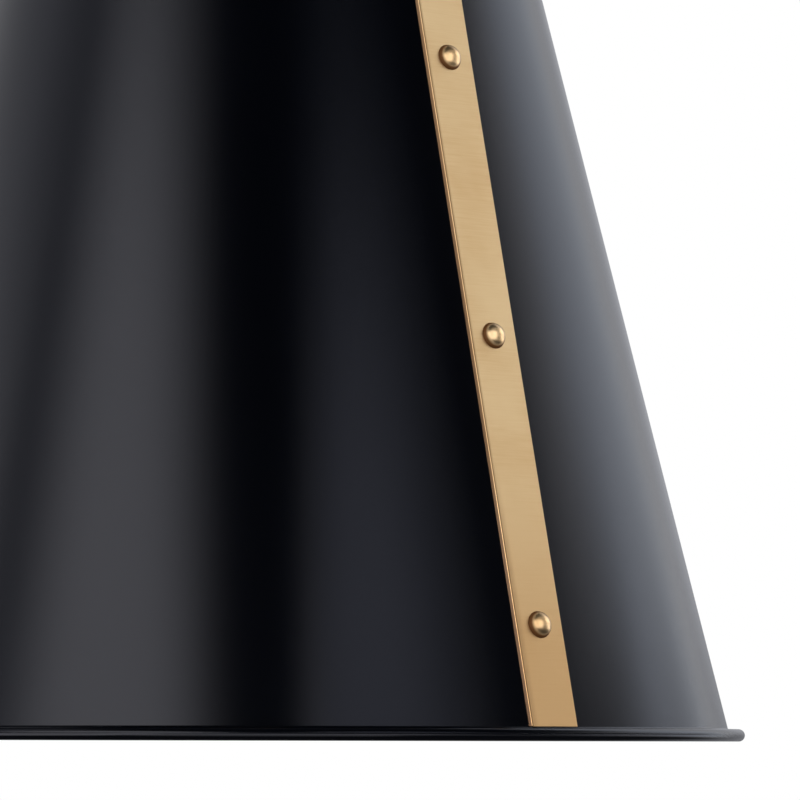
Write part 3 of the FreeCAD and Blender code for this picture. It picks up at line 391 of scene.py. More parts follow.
print("the floor is", FLOOR_DEPTH, "m under the rim")

# %% [markdown]
# Nearly every part of this lamp is round, and was spun, turned or pressed. Each one starts as
# its half section: a few points in radius and height, with the rounding of each corner. A
# vertex bevel rounds the corners, and spin turns the section about the stem. Straight stock,
# such as the straps, starts the same way and is extruded.

# %% Sections
SEGMENT_TURN = 8  # degrees of a rounded corner for each short edge
TOUCHING = 1e-4  # millimetres: nearer than this is the same spot, or on the axis


def section(points):
    """A face through points (radius, height, rounding) in the XZ plane, its corners rounded."""
    mesh = bmesh.new()
    spots = [Vector((point[0], 0, point[1])) for point in points]
    verts = [mesh.verts.new(spot) for spot in spots]
    mesh.faces.new(verts)
    for index, point in enumerate(points):
        if len(point) < 3:
            continue
        arriving = spots[index] - spots[index - 1]
        leaving = spots[(index + 1) % len(spots)] - spots[index]
        turn = arriving.angle(leaving)
        segments = max(2, round(math.degrees(turn) / SEGMENT_TURN))
        bmesh.ops.bevel(mesh, geom=[verts[index]], offset=point[2] * math.tan(turn / 2),
                        offset_type="OFFSET", segments=segments, profile=0.5,
                        affect="VERTICES", material=-1)
    return mesh


def turned(points, steps=96):
    """Spin a section about the Z axis into a closed shape."""
    mesh = section(points)
    bmesh.ops.delete(mesh, geom=mesh.faces[:], context="FACES_ONLY")
    axis_edges = [edge for edge in mesh.edges if all(v.co.x < TOUCHING for v in edge.verts)]
    bmesh.ops.delete(mesh, geom=axis_edges, context="EDGES")
    bmesh.ops.spin(mesh, geom=mesh.verts[:] + mesh.edges[:], cent=(0, 0, 0), axis=(0, 0, 1),
                   angle=2 * math.pi, steps=steps, use_merge=True)
    bmesh.ops.remove_doubles(mesh, verts=mesh.verts[:], dist=TOUCHING)
    bmesh.ops.recalc_face_normals(mesh, faces=mesh.faces[:])
    return mesh


def extruded(points, width):
    """Push a section out to a width across Y, half each way."""
    mesh = section(points)
    bmesh.ops.translate(mesh, verts=mesh.verts[:], vec=(0, -width / 2, 0))
    pushed = bmesh.ops.extrude_face_region(mesh, geom=mesh.faces[:], use_keep_orig=True)
    fresh = [item for item in pushed["geom"] if isinstance(item, bmesh.types.BMVert)]
    bmesh.ops.translate(mesh, verts=fresh, vec=(0, width, 0))
    bmesh.ops.recalc_face_normals(mesh, faces=mesh.faces[:])
    return mesh


print("a corner has a short edge for every", SEGMENT_TURN, "degrees")

# %% Finished pieces
BODY_OF = {node: body for body, members in frame["record"]["behaviour"]["bodies"].items()
           for node in members}
SLOT_OF = {part["node"]: part["material_slot"] for part in frame["record"]["subparts"]}
SHARP_TURN = math.radians(32)


def span(node):
    """The lowest and highest corner of a CAD node, in millimetres."""
    low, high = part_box(node)
    return low / MM, high / MM


def finish(name, mesh, node, material):
    """Bring a bmesh to metres and make it the piece that stands for a CAD node."""
    bmesh.ops.scale(mesh, verts=mesh.verts[:], vec=(MM, MM, MM))
    data = bpy.data.meshes.new(name)
    mesh.to_mesh(data)
    mesh.free()
    data.materials.append(material)
    data.shade_smooth()
    data.set_sharp_from_angle(angle=SHARP_TURN)
    piece = bpy.data.objects.new(name, data)
    bpy.context.scene.collection.objects.link(piece)
    weighted = piece.modifiers.new("even_shading", "WEIGHTED_NORMAL")
    weighted.keep_sharp = True
    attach(piece, BODY_OF[node])
    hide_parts(node)
    for lamp in LIT_BY.get(material.name, ()):
        receivers[lamp].objects.link(piece)
    print(name, "has", len(data.polygons), "faces")
    return piece


# %% [markdown]
# The paint. The shade is spun steel with a satin black enamel, so smooth that its shading comes
# from reflections alone: its own colour is almost nothing. Up close, sprayed enamel has a very
# shallow waviness. Inside, such shades are white to throw the light down. One material does
# both: the sheet carries an attribute that is 1 on the faces of its lining and 0 elsewhere.

# %% Black and white enamel
RIM_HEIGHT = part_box("shade")[0].z / MM
WALL_FOOT_RADIUS = 220.8
WALL_SLOPE = 0.251
RIM_BEAD = 5.7
SHADE_HEIGHT = 480.0
SHEET = 1.0
SLANT = math.sqrt(1 + WALL_SLOPE ** 2)
BLACK_PAINT = ((0.0002, 0.0004, 0.0012), (0.0004, 0.0008, 0.0020))
WHITE_PAINT = ((0.78, 0.77, 0.73), (0.84, 0.83, 0.79))
PAINT_SHEEN = (0.895, 0.895, 1.0)
PAINT_ROUGHNESS = 0.165
PAINT_WAVE = 0.00002  # metres


def wall_radius(height, lift=0.0):
    """Radius of the wall's outside, or of a surface lifted square off it, in millimetres."""
    return WALL_FOOT_RADIUS - WALL_SLOPE * (height - RIM_BEAD) + lift * SLANT


def shade_paint():
    """Black outside and white on the faces of the lining."""
    material, wire, output = start_material("satin_enamel")
    where = wire.make("ShaderNodeTexCoord", output=3)
    inside = wire.make("ShaderNodeAttribute", output="Fac", attribute_name="lining")
    cloud = wire.make("ShaderNodeTexNoise", {"Vector": where, "Scale": 9.0, "Detail": 3.0})
    waves = wire.make("ShaderNodeTexNoise", {"Vector": where, "Scale": 420.0, "Detail": 1.0})
    outer = cloud.blend(*[colour(*tone) for tone in BLACK_PAINT])
    inner = cloud.blend(*[colour(*tone) for tone in WHITE_PAINT])
    bump = wire.make("ShaderNodeBump", {
        "Height": waves, "Strength": 0.12, "Distance": PAINT_WAVE})
    surface("satin_enamel", {
        "Base Color": inside.blend(outer, inner), "Roughness": PAINT_ROUGHNESS + 0.03 * cloud,
        "Specular IOR Level": 0.8, "Specular Tint": colour(*PAINT_SHEEN),
        "Normal": bump}, wire, output)
    return material


enamel = shade_paint()

# %% [markdown]
# The brass. The straps are rolled bar, brushed across their width after they were bent, and left
# to age: the colour drifts between a pale and a browner brass, and the brush marks spread every
# reflection up and down the strap. The marks have to follow the bar round its bend, so they read
# the strap's own UV map, in metres across and along. The strap's colour also holds painted shade:
# it darkens towards the foot, along the left edge and on the cut sides. Turned parts carry fine
# rings instead, which follow the height, and for those the object's own coordinates are enough.
# The lower part of each rivet's head is painted a darker brown: painted shade round its foot. An
# attribute says how far down the head a face is.

# %% Brushed strap brass
PALE_BRASS = (0.82, 0.60, 0.335)
BROWN_BRASS = (0.70, 0.46, 0.225)
# Tones of painted shade: darker brass at the foot, along the left edge and on the cut sides.
FOOT_SHADE_TONE = (0.60, 0.36, 0.16)
EDGE_SHADE_TONE = (0.42, 0.24, 0.11)
SIDE_SHADE_TONE = (0.62, 0.38, 0.25)
# Metres up from the strap's foot.
FOOT_SHADE_REACH = 0.16
RUBBED_UP = (0.07, 0.13)
# Metres from the strap's middle.
SHEARED_SIDE = (0.01246, 0.01249)
RUBBED_EDGE = (0.0119, 0.0122)
FOOT_EDGE_SHADE = (0.0085, 0.0122)
UPPER_EDGE_SHADE = (0.0108, 0.0121)
# How strongly each of them shows.
FOOT_SHADE_SHARE = 0.8
SIDE_SHADE_SHARE = 0.75
FOOT_EDGE_SHADE_SHARE = 0.6
UPPER_EDGE_SHADE_SHARE = 0.55
RUBBED_LOSS = 0.85
# Marks for each metre across and along the strap.
BRUSH_MARKS = (45, 1300)
SCRATCHES = (12, 420)
BRUSH_DEPTH = 0.00004  # metres


def strap_brass():
    """Brass with brush marks across it, rubbed edges, and painted shade at its foot, along its
    left edge and on its cut sides.
    """
    material, wire, output = start_material("brushed_brass")
    where = wire.make("ShaderNodeTexCoord", output=3)
    across, along, _ = wire.make("ShaderNodeUVMap", uv_map="strip").parts()
    lines = wire.make("ShaderNodeTexNoise", {
        "Vector": wire.make("ShaderNodeCombineXYZ", {
            0: across * BRUSH_MARKS[0], 1: along * BRUSH_MARKS[1]}),
        "Scale": 1.0, "Detail": 4.0, "Roughness": 0.6})
    scratches = wire.make("ShaderNodeTexNoise", {
        "Vector": wire.make("ShaderNodeCombineXYZ", {
            0: across * SCRATCHES[0], 1: along * SCRATCHES[1]}),
        "Scale": 1.0, "Detail": 2.0})
    age = wire.make("ShaderNodeTexNoise", {"Vector": where, "Scale": 26.0, "Detail": 3.0})
    tone = (age * 0.7 + lines * 0.3).between(0.35, 0.85)
    # Painted shade: the brass darkens towards the strap's foot.
    foot_shade = FOOT_SHADE_SHARE - FOOT_SHADE_SHARE * along.between(0, FOOT_SHADE_REACH)
    metal = foot_shade.blend(tone.blend(colour(*PALE_BRASS), colour(*BROWN_BRASS)), colour(*FOOT_SHADE_TONE))
    relief = lines * 0.7 + scratches * 0.5
    reach = wire.math("ABSOLUTE", across)
    side = reach.between(*SHEARED_SIDE)
    faded = 1 - RUBBED_LOSS * along.between(*RUBBED_UP)
    rubbed = faded * reach.between(*RUBBED_EDGE) * (1 - side)
    # The cut sides are rougher, and their colour is a darker copper tone: painted shade.
    metal = (SIDE_SHADE_SHARE * side).blend(metal, colour(*SIDE_SHADE_TONE))
    # Painted shade along the strap's left edge only: a darker band near the foot, and above it a
    # darker edge that dims the edge's highlight.
    foot_edge_shade = (-1 * across).between(*FOOT_EDGE_SHADE) * (1 - along.between(*RUBBED_UP))
    metal = (FOOT_EDGE_SHADE_SHARE * foot_edge_shade * (1 - side)).blend(metal, colour(*EDGE_SHADE_TONE))
    upper_edge_shade = (-1 * across).between(*UPPER_EDGE_SHADE) * along.between(*RUBBED_UP)
    metal = (UPPER_EDGE_SHADE_SHARE * upper_edge_shade).blend(metal, colour(*EDGE_SHADE_TONE))
    bump = wire.make("ShaderNodeBump", {
        "Height": relief, "Strength": 0.55, "Distance": BRUSH_DEPTH})
    surface("brushed_brass", {
        "Base Color": metal, "Metallic": 1.0,
        "Roughness": 0.34 + 0.12 * lines + 0.3 * side - 0.24 * rubbed, "Normal": bump},
        wire, output)
    return material


strip_brass = strap_brass()

# %% Turned brass
# Painted shade: a dark brown round the foot of each rivet's head, where it is also less metallic
# and rougher.
HEAD_FOOT_SHADE = (0.12, 0.044, 0.008)
SHADED_DROP = (0.38, 0.72)  # down a rivet's head, from 0 at its top to 1 at its foot
LATHE_RINGS = 2600  # for each metre of height
RING_DEPTH = 0.00002  # metres


def turned_brass(name, pale, brown, polish):
    """Brass with the fine rings of a lathe, and painted shade where the drop attribute is high."""
    material, wire, output = start_material(name)
    where = wire.make("ShaderNodeTexCoord", output=3)
    _, _, height = where.parts()
    rings = wire.make("ShaderNodeTexNoise", {
        "Vector": wire.make("ShaderNodeCombineXYZ", {2: height * LATHE_RINGS}),
        "Scale": 1.0, "Detail": 3.0})
    age = wire.make("ShaderNodeTexNoise", {"Vector": where, "Scale": 34.0, "Detail": 4.0})
    spots = wire.make("ShaderNodeTexNoise", {"Vector": where, "Scale": 260.0, "Detail": 2.0})
    tone = (age * 0.75 + spots * 0.25).between(0.35, 0.7)
    drop = wire.make("ShaderNodeAttribute", output="Fac", attribute_name="drop")
    # The lower part of each rivet's head is painted darker: painted shade.
    head_shade = drop.between(*SHADED_DROP)
    bump = wire.make("ShaderNodeBump", {
        "Height": rings * 0.6 + spots * 0.4, "Strength": 0.3, "Distance": RING_DEPTH})
    surface(name, {
        "Base Color": head_shade.blend(tone.blend(colour(*pale), colour(*brown)), colour(*HEAD_FOOT_SHADE)),
        "Metallic": 1 - 0.5 * head_shade, "Roughness": polish + 0.14 * age + 0.3 * head_shade,
        "Normal": bump},
        wire, output)
    return material


ring_brass = turned_brass("ring_brass", (0.74, 0.53, 0.29), (0.62, 0.43, 0.21), 0.22)
rivet_brass = turned_brass("rivet_brass", (0.87, 0.62, 0.35), (0.75, 0.48, 0.23), 0.24)

# %% [markdown]
# The rest are plain finishes with what age and making leave in them: zinc plating with its
# cloudy blue and yellow, white porcelain, opal glass, black glass, and one green screw for the
# ground wire. They differ only in a few numbers, so one function makes them all.

# %% Other finishes


def cloudy(name, first, second, roughness, scale=40.0, relief=0.00001, **sockets):
    """A finish that drifts between two colours, with a fine relief."""
    material, wire, output = start_material(name)
    where = wire.make("ShaderNodeTexCoord", output=3)
    cloud = wire.make("ShaderNodeTexNoise", {"Vector": where, "Scale": scale, "Detail": 4.0})
    grain = wire.make("ShaderNodeTexNoise", {"Vector": where, "Scale": 900.0, "Detail": 2.0})
    bump = wire.make("ShaderNodeBump", {"Height": grain, "Strength": 0.3, "Distance": relief})
    surface(name, {
        "Base Color": cloud.between(0.35, 0.65).blend(colour(*first), colour(*second)),
        "Roughness": roughness + 0.1 * cloud, "Normal": bump, **sockets}, wire, output)
    return material


FINISHES = {
    "shade_paint": enamel,
    "strap_brass": strip_brass,
    "turned_brass": ring_brass,
    "plated_steel": cloudy("zinc_plate", (0.62, 0.64, 0.66), (0.55, 0.54, 0.47), 0.26,
                           Metallic=1.0),
    "green_steel": cloudy("green_screw", (0.06, 0.30, 0.10), (0.05, 0.24, 0.09), 0.3,
                          Metallic=0.6),
    "porcelain": cloudy("porcelain", (0.84, 0.83, 0.79), (0.80, 0.79, 0.74), 0.1, 22.0,
                        **{"Coat Weight": 0.4}),
    "shell_brass": cloudy("pressed_brass", (0.82, 0.62, 0.36), (0.74, 0.53, 0.28), 0.22,
                          Metallic=1.0),
    "opal_glass": cloudy("opal_glass", (0.90, 0.89, 0.86), (0.88, 0.87, 0.84), 0.06, 12.0,
                         0.000002, **{"Coat Weight": 0.5}),
    "black_glass": cloudy("black_glass", (0.012, 0.011, 0.014), (0.02, 0.018, 0.02), 0.1)}
print("finishes:", ", ".join(FINISHES))

# %% [markdown]
# The shade is one sheet. On the lathe it gets a flat roof, a rounded shoulder, a straight cone
# and, last, its edge rolled into a small bead that stiffens it and hides the cut. Its section is
# the whole sheet, inside and outside, so the spun shape is closed and has a real thickness. It
# needs far more steps round than the small parts, because a gloss shows every flat.

# %% Shade
SHADE_STEPS = 320
HUB_HOLE = 5.15
CURL_GAP = 1.5
BEAD_RADIUS = 2.845  # a hair under half the bead, so that two corners can meet
RIM_RADIUS = 228.6
SHOULDER_RADIUS = 12.0

roof_edge = wall_radius(SHADE_HEIGHT)
inner_edge = wall_radius(SHADE_HEIGHT - SHEET, -SHEET)
shade_section = [
    (HUB_HOLE, SHADE_HEIGHT), (roof_edge, SHADE_HEIGHT, SHOULDER_RADIUS),
    (WALL_FOOT_RADIUS, RIM_BEAD, 0.7), (RIM_RADIUS, RIM_BEAD, BEAD_RADIUS),
    (RIM_RADIUS, 0, BEAD_RADIUS), (WALL_FOOT_RADIUS + CURL_GAP, 0, 0.2),
    (WALL_FOOT_RADIUS + CURL_GAP, SHEET, 0.2), (RIM_RADIUS - SHEET, SHEET, BEAD_RADIUS - SHEET),
    (RIM_RADIUS - SHEET, RIM_BEAD - SHEET, BEAD_RADIUS - SHEET),
    (wall_radius(RIM_BEAD - SHEET, -SHEET), RIM_BEAD - SHEET, 1.2),
    (inner_edge, SHADE_HEIGHT - SHEET, SHOULDER_RADIUS - SHEET),
    (HUB_HOLE, SHADE_HEIGHT - SHEET)]
mesh = turned(shade_section, SHADE_STEPS)
lining = mesh.loops.layers.float.new("lining")
for face in mesh.faces:
    middle = face.calc_center_median()
    inward = face.normal.x * middle.x + face.normal.y * middle.y < 0
    under_roof = face.normal.z < -0.9
    if middle.z > RIM_BEAD and (inward or under_roof):
        for loop in face.loops:
            loop[lining] = 1.0
bmesh.ops.translate(mesh, verts=mesh.verts[:], vec=(0, 0, RIM_HEIGHT))
finish("shade_sheet", mesh, "shade", enamel)

# %% [markdown]
# Each strap is one bar of 25 by 2.5 mm, bent over the shoulder. It starts as its side view and
# is pushed out to its width, so the bend is a real bend. A small bevel on every long edge takes
# off the razor edge that only computer models have, and gives the thin bright line that the
# photograph shows. The UV map runs across and along the bar, in metres.

# %% Straps
STRAP_WIDTH = 25.0
STRAP_THICKNESS = 2.5
STRAP_SEAT = 0.1
STRAP_LIFT = STRAP_SEAT + STRAP_THICKNESS
STRAP_FOOT = RIM_BEAD + 0.2
STRAP_END_RADIUS = 26.0
STRAP_EDGE = 0.6
STRAP_BACK_EDGE = 0.15
STRAP_TURNS = {"strap_front": -55, "strap_rear": 65, "strap_left": 185}
INSIDE_BEND = 50
STRAP_MIDDLE = Vector((INSIDE_BEND, 0, SHADE_HEIGHT / 2))

strap_section = [
    (wall_radius(STRAP_FOOT, STRAP_SEAT), STRAP_FOOT),
    (wall_radius(STRAP_FOOT, STRAP_LIFT), STRAP_FOOT),
    (wall_radius(SHADE_HEIGHT + STRAP_LIFT, STRAP_LIFT), SHADE_HEIGHT + STRAP_LIFT,
     SHOULDER_RADIUS + STRAP_LIFT),
    (STRAP_END_RADIUS, SHADE_HEIGHT + STRAP_LIFT), (STRAP_END_RADIUS, SHADE_HEIGHT + STRAP_SEAT),
    (wall_radius(SHADE_HEIGHT + STRAP_SEAT, STRAP_SEAT), SHADE_HEIGHT + STRAP_SEAT,
     SHOULDER_RADIUS + STRAP_SEAT)]


def bevel_sharp(mesh, width, segments, wanted=lambda edge: True):
    """Round the wanted edges whose faces meet at more than the sharp turn."""
    sharp = [edge for edge in mesh.edges
             if edge.is_manifold and edge.calc_face_angle() > SHARP_TURN and wanted(edge)]
    bmesh.ops.bevel(mesh, geom=sharp, offset=width, offset_type="OFFSET", segments=segments,
                    profile=0.5, affect="EDGES", material=-1, clamp_overlap=True)


def on_front(edge):
    """Whether a strap's edge belongs to its outer face."""
    return all(abs(face.normal.y) > 0.5
               or face.normal.dot(face.calc_center_median() - STRAP_MIDDLE) > 0
               for face in edge.link_faces)


for node, turn in STRAP_TURNS.items():
    mesh = extruded(strap_section, STRAP_WIDTH)
    bevel_sharp(mesh, STRAP_EDGE, 6, on_front)
    bevel_sharp(mesh, STRAP_BACK_EDGE, 2)
    strip = mesh.loops.layers.uv.new("strip")
    for face in mesh.faces:
        for loop in face.loops:
            radius, side, height = loop.vert.co
            length = (height - STRAP_FOOT) * SLANT + wall_radius(height, STRAP_LIFT) - radius
            loop[strip].uv = (side * MM, length * MM)
    bmesh.ops.rotate(mesh, verts=mesh.verts[:], cent=(0, 0, 0),
                     matrix=Matrix.Rotation(math.radians(turn), 3, "Z"))
    bmesh.ops.translate(mesh, verts=mesh.verts[:], vec=(0, 0, RIM_HEIGHT))
    finish(node + "_bar", mesh, node, strip_brass).visible_glossy = False

# %% [markdown]
# Solid rivets hold the straps. A round head is struck with a hollow punch, so its dome is steep
# at the edge and has a small flat land where it meets the strap. One rivet is turned and then
# set at each hole: four down each strap's wall and one on the roof.

# %% Rivets
RIVET_HEAD_RADIUS = 6.0
RIVET_HEAD_HEIGHT = 4.5
RIVET_SHANK_RADIUS = 2.4
BURR_DEPTH = 2.2  # from the sheet's outside to the burr's inner face
RIVET_TAIL_RADIUS = 3.7
RIVET_TAIL_HEIGHT = 1.6
FIRST_RIVET = 43.3
RIVET_PITCH = 127.0
RIVET_HEIGHTS = [STRAP_FOOT + FIRST_RIVET + RIVET_PITCH * index for index in range(4)]
ROOF_RIVET_RADIUS = 62.0
HEAD_END = 1.01  # a hair past the head's foot, as a share of its height

dome_radius = (RIVET_HEAD_RADIUS ** 2 + RIVET_HEAD_HEIGHT ** 2) / (2 * RIVET_HEAD_HEIGHT)
dome_corner = dome_radius * math.tan(math.asin(RIVET_HEAD_RADIUS / dome_radius) / 2)
rivet_top = STRAP_LIFT + RIVET_HEAD_HEIGHT
rivet_section = [
    (0, rivet_top), (dome_corner, rivet_top, dome_radius - 0.01), (RIVET_HEAD_RADIUS, STRAP_LIFT),
    (RIVET_SHANK_RADIUS, STRAP_LIFT), (RIVET_SHANK_RADIUS, -BURR_DEPTH),
    (RIVET_TAIL_RADIUS, -BURR_DEPTH, 0.4),
    (RIVET_TAIL_RADIUS, -BURR_DEPTH - RIVET_TAIL_HEIGHT, 1.2),
    (0, -BURR_DEPTH - RIVET_TAIL_HEIGHT)]
wall_tip = Matrix.Rotation(math.atan(1 / WALL_SLOPE), 4, "Y")
rivet_places = [Matrix.Translation((wall_radius(height), 0, height + RIM_HEIGHT)) @ wall_tip
                for height in RIVET_HEIGHTS]
rivet_places.append(Matrix.Translation((ROOF_RIVET_RADIUS, 0, SHADE_HEIGHT + RIM_HEIGHT)))


def at_rivets(points, steps):
    """Copies of one turned shape, at every rivet of every strap."""
    every = bmesh.new()
    for turn in STRAP_TURNS.values():
        for place in rivet_places:
            single = turned(points, steps)
            # How far down the head each face lies, for the painted shade at its foot.
            drop = single.loops.layers.float.new("drop")
            for face in single.faces:
                for loop in face.loops:
                    below_top = (rivet_top - loop.vert.co.z) / RIVET_HEAD_HEIGHT
                    loop[drop] = below_top if below_top < HEAD_END else 0
            bmesh.ops.transform(single, verts=single.verts[:],
                                matrix=Matrix.Rotation(math.radians(turn), 4, "Z") @ place)
            data = bpy.data.meshes.new("single")
            single.to_mesh(data)
            single.free()
            every.from_mesh(data)
            bpy.data.meshes.remove(data)
    return every


finish("round_head_rivets", at_rivets(rivet_section, 48), "strap_rivets", rivet_brass)
BURR_BORE = 2.5
BURR_RADIUS = 5.5
BURR_TOP = 1.2
burr_section = [
    (BURR_BORE, -BURR_TOP, 0.15), (BURR_RADIUS, -BURR_TOP, 0.25),
    (BURR_RADIUS, -BURR_DEPTH, 0.25), (BURR_BORE, -BURR_DEPTH, 0.15)]
finish("burr_washers", at_rivets(burr_section, 40), "rivet_burrs", FINISHES["plated_steel"])

# %% [markdown]
# Most of the other parts were turned or pressed too. Each has its own half section, with heights
# measured down from the part's top, and every corner gets the rounding that its making leaves:
# a few tenths of a millimetre off a lathe, more where a sheet was pressed over a punch.

# %% Spun parts
THREAD_HOLE = 4.9


def spun(node, points, material, steps=72, spots=((0, 0),)):
    """Turn a section with heights below the part's top, and set it at each spot."""
    top = span(node)[1].z
    every = bmesh.new()
    for spot in spots:
        single = turned(points, steps)
        bmesh.ops.translate(single, verts=single.verts[:], vec=(*spot, top))
        data = bpy.data.meshes.new("single")
        single.to_mesh(data)
        single.free()
        every.from_mesh(data)
        bpy.data.meshes.remove(data)
    finish(node + "_turned", every, node, material)


def ring(bore, radius, height, edge=0.3):
    """Section of a flat ring or a tube with its outer edges eased."""
    return [(bore, 0), (radius, 0, edge), (radius, -height, edge), (bore, -height)]


# %% Canopy and its cap nuts
CANOPY_RADIUS = 63.5
CANOPY_DEPTH = 22.0
CANOPY_CORNER = 14.0
CANOPY_SHEET = 1.2
STUD_OFFSET = 25.0
STUD_HOLE = 2.1
CAP_NUT_RADIUS = 5.0
CAP_NUT_NECK_RADIUS = 3.8
CAP_NUT_NECK = 2.5
CAP_NUT_DEPTH = 7.0

cap_nut_centre = CAP_NUT_NECK + math.sqrt(CAP_NUT_RADIUS ** 2 - CAP_NUT_NECK_RADIUS ** 2)
spun("canopy", [
    (CANOPY_RADIUS - CANOPY_SHEET, 0), (CANOPY_RADIUS, 0, 0.4),
    (CANOPY_RADIUS, -CANOPY_DEPTH, CANOPY_CORNER), (HUB_HOLE, -CANOPY_DEPTH),
    (HUB_HOLE, CANOPY_SHEET - CANOPY_DEPTH),
    (CANOPY_RADIUS - CANOPY_SHEET, CANOPY_SHEET - CANOPY_DEPTH, CANOPY_CORNER - CANOPY_SHEET)],
    FINISHES[SLOT_OF["canopy"]], 144)


def ball(radius, centre, start, stop, count):
    """Points down the side of a ball, between two angles from its equator, in degrees."""
    turns = [math.radians(start + (stop - start) * index / count) for index in range(count + 1)]
    return [(radius * math.cos(turn), centre + radius * math.sin(turn)) for turn in turns]


neck_turn = math.degrees(math.acos(CAP_NUT_NECK_RADIUS / CAP_NUT_RADIUS))
spun("canopy_cap_nuts", [
    (STUD_HOLE, 0), (CAP_NUT_NECK_RADIUS, 0, 0.3),
    *ball(CAP_NUT_RADIUS, -cap_nut_centre, neck_turn, -90, 22)[:-1],
    (0, -cap_nut_centre - CAP_NUT_RADIUS), (0, -CAP_NUT_DEPTH), (STUD_HOLE, -CAP_NUT_DEPTH)],
    ring_brass, 48, ((-STUD_OFFSET, 0), (STUD_OFFSET, 0)))

# %% Swivel housing
CUP_BORE = 10.05
CUP_LENGTH = 16.4
CUP_LIP = 3.0
LIP_BORE = 6.08
SWIVEL_RADIUS = 14.0
CAP_RADIUS = 17.0
CAP_THICKNESS = 4.0
SPIGOT_RADIUS = 10.0
SPIGOT_END = 13.0

spun("swivel_cap", [
    (THREAD_HOLE, 0), (CAP_RADIUS, 0, 0.3), (CAP_RADIUS, -CAP_THICKNESS, 1.5),
    (SPIGOT_RADIUS, -CAP_THICKNESS), (SPIGOT_RADIUS, -SPIGOT_END, 0.3),
    (THREAD_HOLE, -SPIGOT_END)], ring_brass)
spun("swivel_cup", [
    (CUP_BORE, 0), (SWIVEL_RADIUS, 0, 0.4), (SWIVEL_RADIUS, -CUP_LENGTH, 0.8),
    (LIP_BORE, -CUP_LENGTH, 0.2), (LIP_BORE, CUP_LIP - CUP_LENGTH),
    (CUP_BORE, CUP_LIP - CUP_LENGTH)], ring_brass)

# %% Stem
ROD_RADIUS = 6.35
ROD_LENGTH = 152.4
COUPLER_RADIUS = 8.5
COUPLER_LENGTH = 16.0
COLLAR_RADIUS = 22.0
COLLAR_NECK_RADIUS = 9.0
COLLAR_HEIGHT = 20.0
COLLAR_BASE = 2.5
COLLAR_NECK_HEIGHT = 4.0
COLLAR_SWEEP = 14.0
COLLAR_FLARE = 1.1  # how far the sweep's corner stands out from the neck
COLLAR_RISE = 1.55  # and how far it stands above the base

for node in ("upper_rod", "lower_rod"):
    spun(node, ring(THREAD_HOLE, ROD_RADIUS, ROD_LENGTH), ring_brass)
spun("rod_coupler", ring(THREAD_HOLE, COUPLER_RADIUS, COUPLER_LENGTH, 1.0), ring_brass)
spun("stem_collar", [
    (THREAD_HOLE, 0), (COLLAR_NECK_RADIUS, 0, 0.8), (COLLAR_NECK_RADIUS, -COLLAR_NECK_HEIGHT),
    (COLLAR_NECK_RADIUS + COLLAR_FLARE, COLLAR_BASE + COLLAR_RISE - COLLAR_HEIGHT,
     COLLAR_SWEEP),
    (COLLAR_RADIUS, COLLAR_BASE - COLLAR_HEIGHT, 0.5), (COLLAR_RADIUS, -COLLAR_HEIGHT, 0.3),
    (THREAD_HOLE, -COLLAR_HEIGHT)], ring_brass)

# %% [markdown]
# The parts that carry the shade: the hub clamps the straps' ends from above, a spacer keeps it
# off the roof, and an inner plate, washer and nut back the roof from inside. The nipples that
# join everything have a fine thread. Closed rings stand in for its helix.

# %% Shade carrier
HUB_RADIUS = 42.0
HUB_THICKNESS = 3.0
SPACER_RADIUS = 20.0
PLATE_RADIUS = 45.0
PLATE_THICKNESS = 2.0
WASHER_RADIUS = 10.0
WASHER_THICKNESS = 1.2

spun("top_hub", [
    (HUB_HOLE, 0), (HUB_RADIUS, 0, 1.2), (HUB_RADIUS, -HUB_THICKNESS, 0.3),
    (HUB_HOLE, -HUB_THICKNESS)], ring_brass, 96)
plated = FINISHES["plated_steel"]
spacer_low, spacer_high = span("hub_spacer")
spun("hub_spacer", ring(HUB_HOLE, SPACER_RADIUS, spacer_high.z - spacer_low.z), plated)
spun("inner_plate", ring(HUB_HOLE, PLATE_RADIUS, PLATE_THICKNESS), plated, 96)
for node in ("centre_washer", "canopy_washer"):
    spun(node, ring(HUB_HOLE, WASHER_RADIUS, WASHER_THICKNESS, 0.35), plated, 48)

# %% Nipples
THREAD_RADIUS = 4.85
THREAD_BORE = 3.2
THREAD_PITCH = 25.4 / 27
THREAD_DEPTH = 0.45


def ridges(crest, top, count, pitch, depth, *rounding):
    """Points down a ridged side, crest to crest."""
    return [(crest - (index % 2) * depth, top - index * pitch / 2, *rounding)
            for index in range(2 * count + 1)]


for node in ("canopy_nipple", "knuckle_nipple", "coupler_nipple", "centre_nipple"):
    low, high = span(node)
    length = high.z - low.z
    turns = int((length - THREAD_PITCH) / THREAD_PITCH)
    start = -(length - turns * THREAD_PITCH) / 2
    root = THREAD_RADIUS - THREAD_DEPTH
    spun(node, [
        (THREAD_BORE, 0), (root, 0),
        *ridges(THREAD_RADIUS, start, turns, THREAD_PITCH, THREAD_DEPTH),
        (root, -length), (THREAD_BORE, -length)], plated, 32)

# %% [markdown]
# The lamp holder: a white porcelain body under a brass husk, with a screw shell pressed from
# thin brass. The shell's and the bulb cap's threads are rolled in sheet, so they are round waves
# on both sides.

# %% Husk and holder
HUSK_RADIUS = 23.0
HUSK_LENGTH = 60.0
HUSK_CORNER = 6.0
HUSK_SHEET = 1.0
CONTACT_HOLE = 1.65
HOLDER_RADIUS = 19.0
HOLDER_LENGTH = 40.0
HOLDER_FLOOR = 8.0
HOLDER_BORE = 14.5
RIDGE_PITCH = 3.63
RIDGE_DEPTH = 0.6
RIDGE_ROUNDING = 1.5
SHELL_RADIUS = 14.4
SHELL_LIP = 2.0
SHELL_MOUTH = 11.4
SHELL_RIDGES = 7
SHEET_BRASS = 0.4
CONTACT_RADIUS = 4.2
CONTACT_SHANK = 1.6
CONTACT_PLATE = 0.8

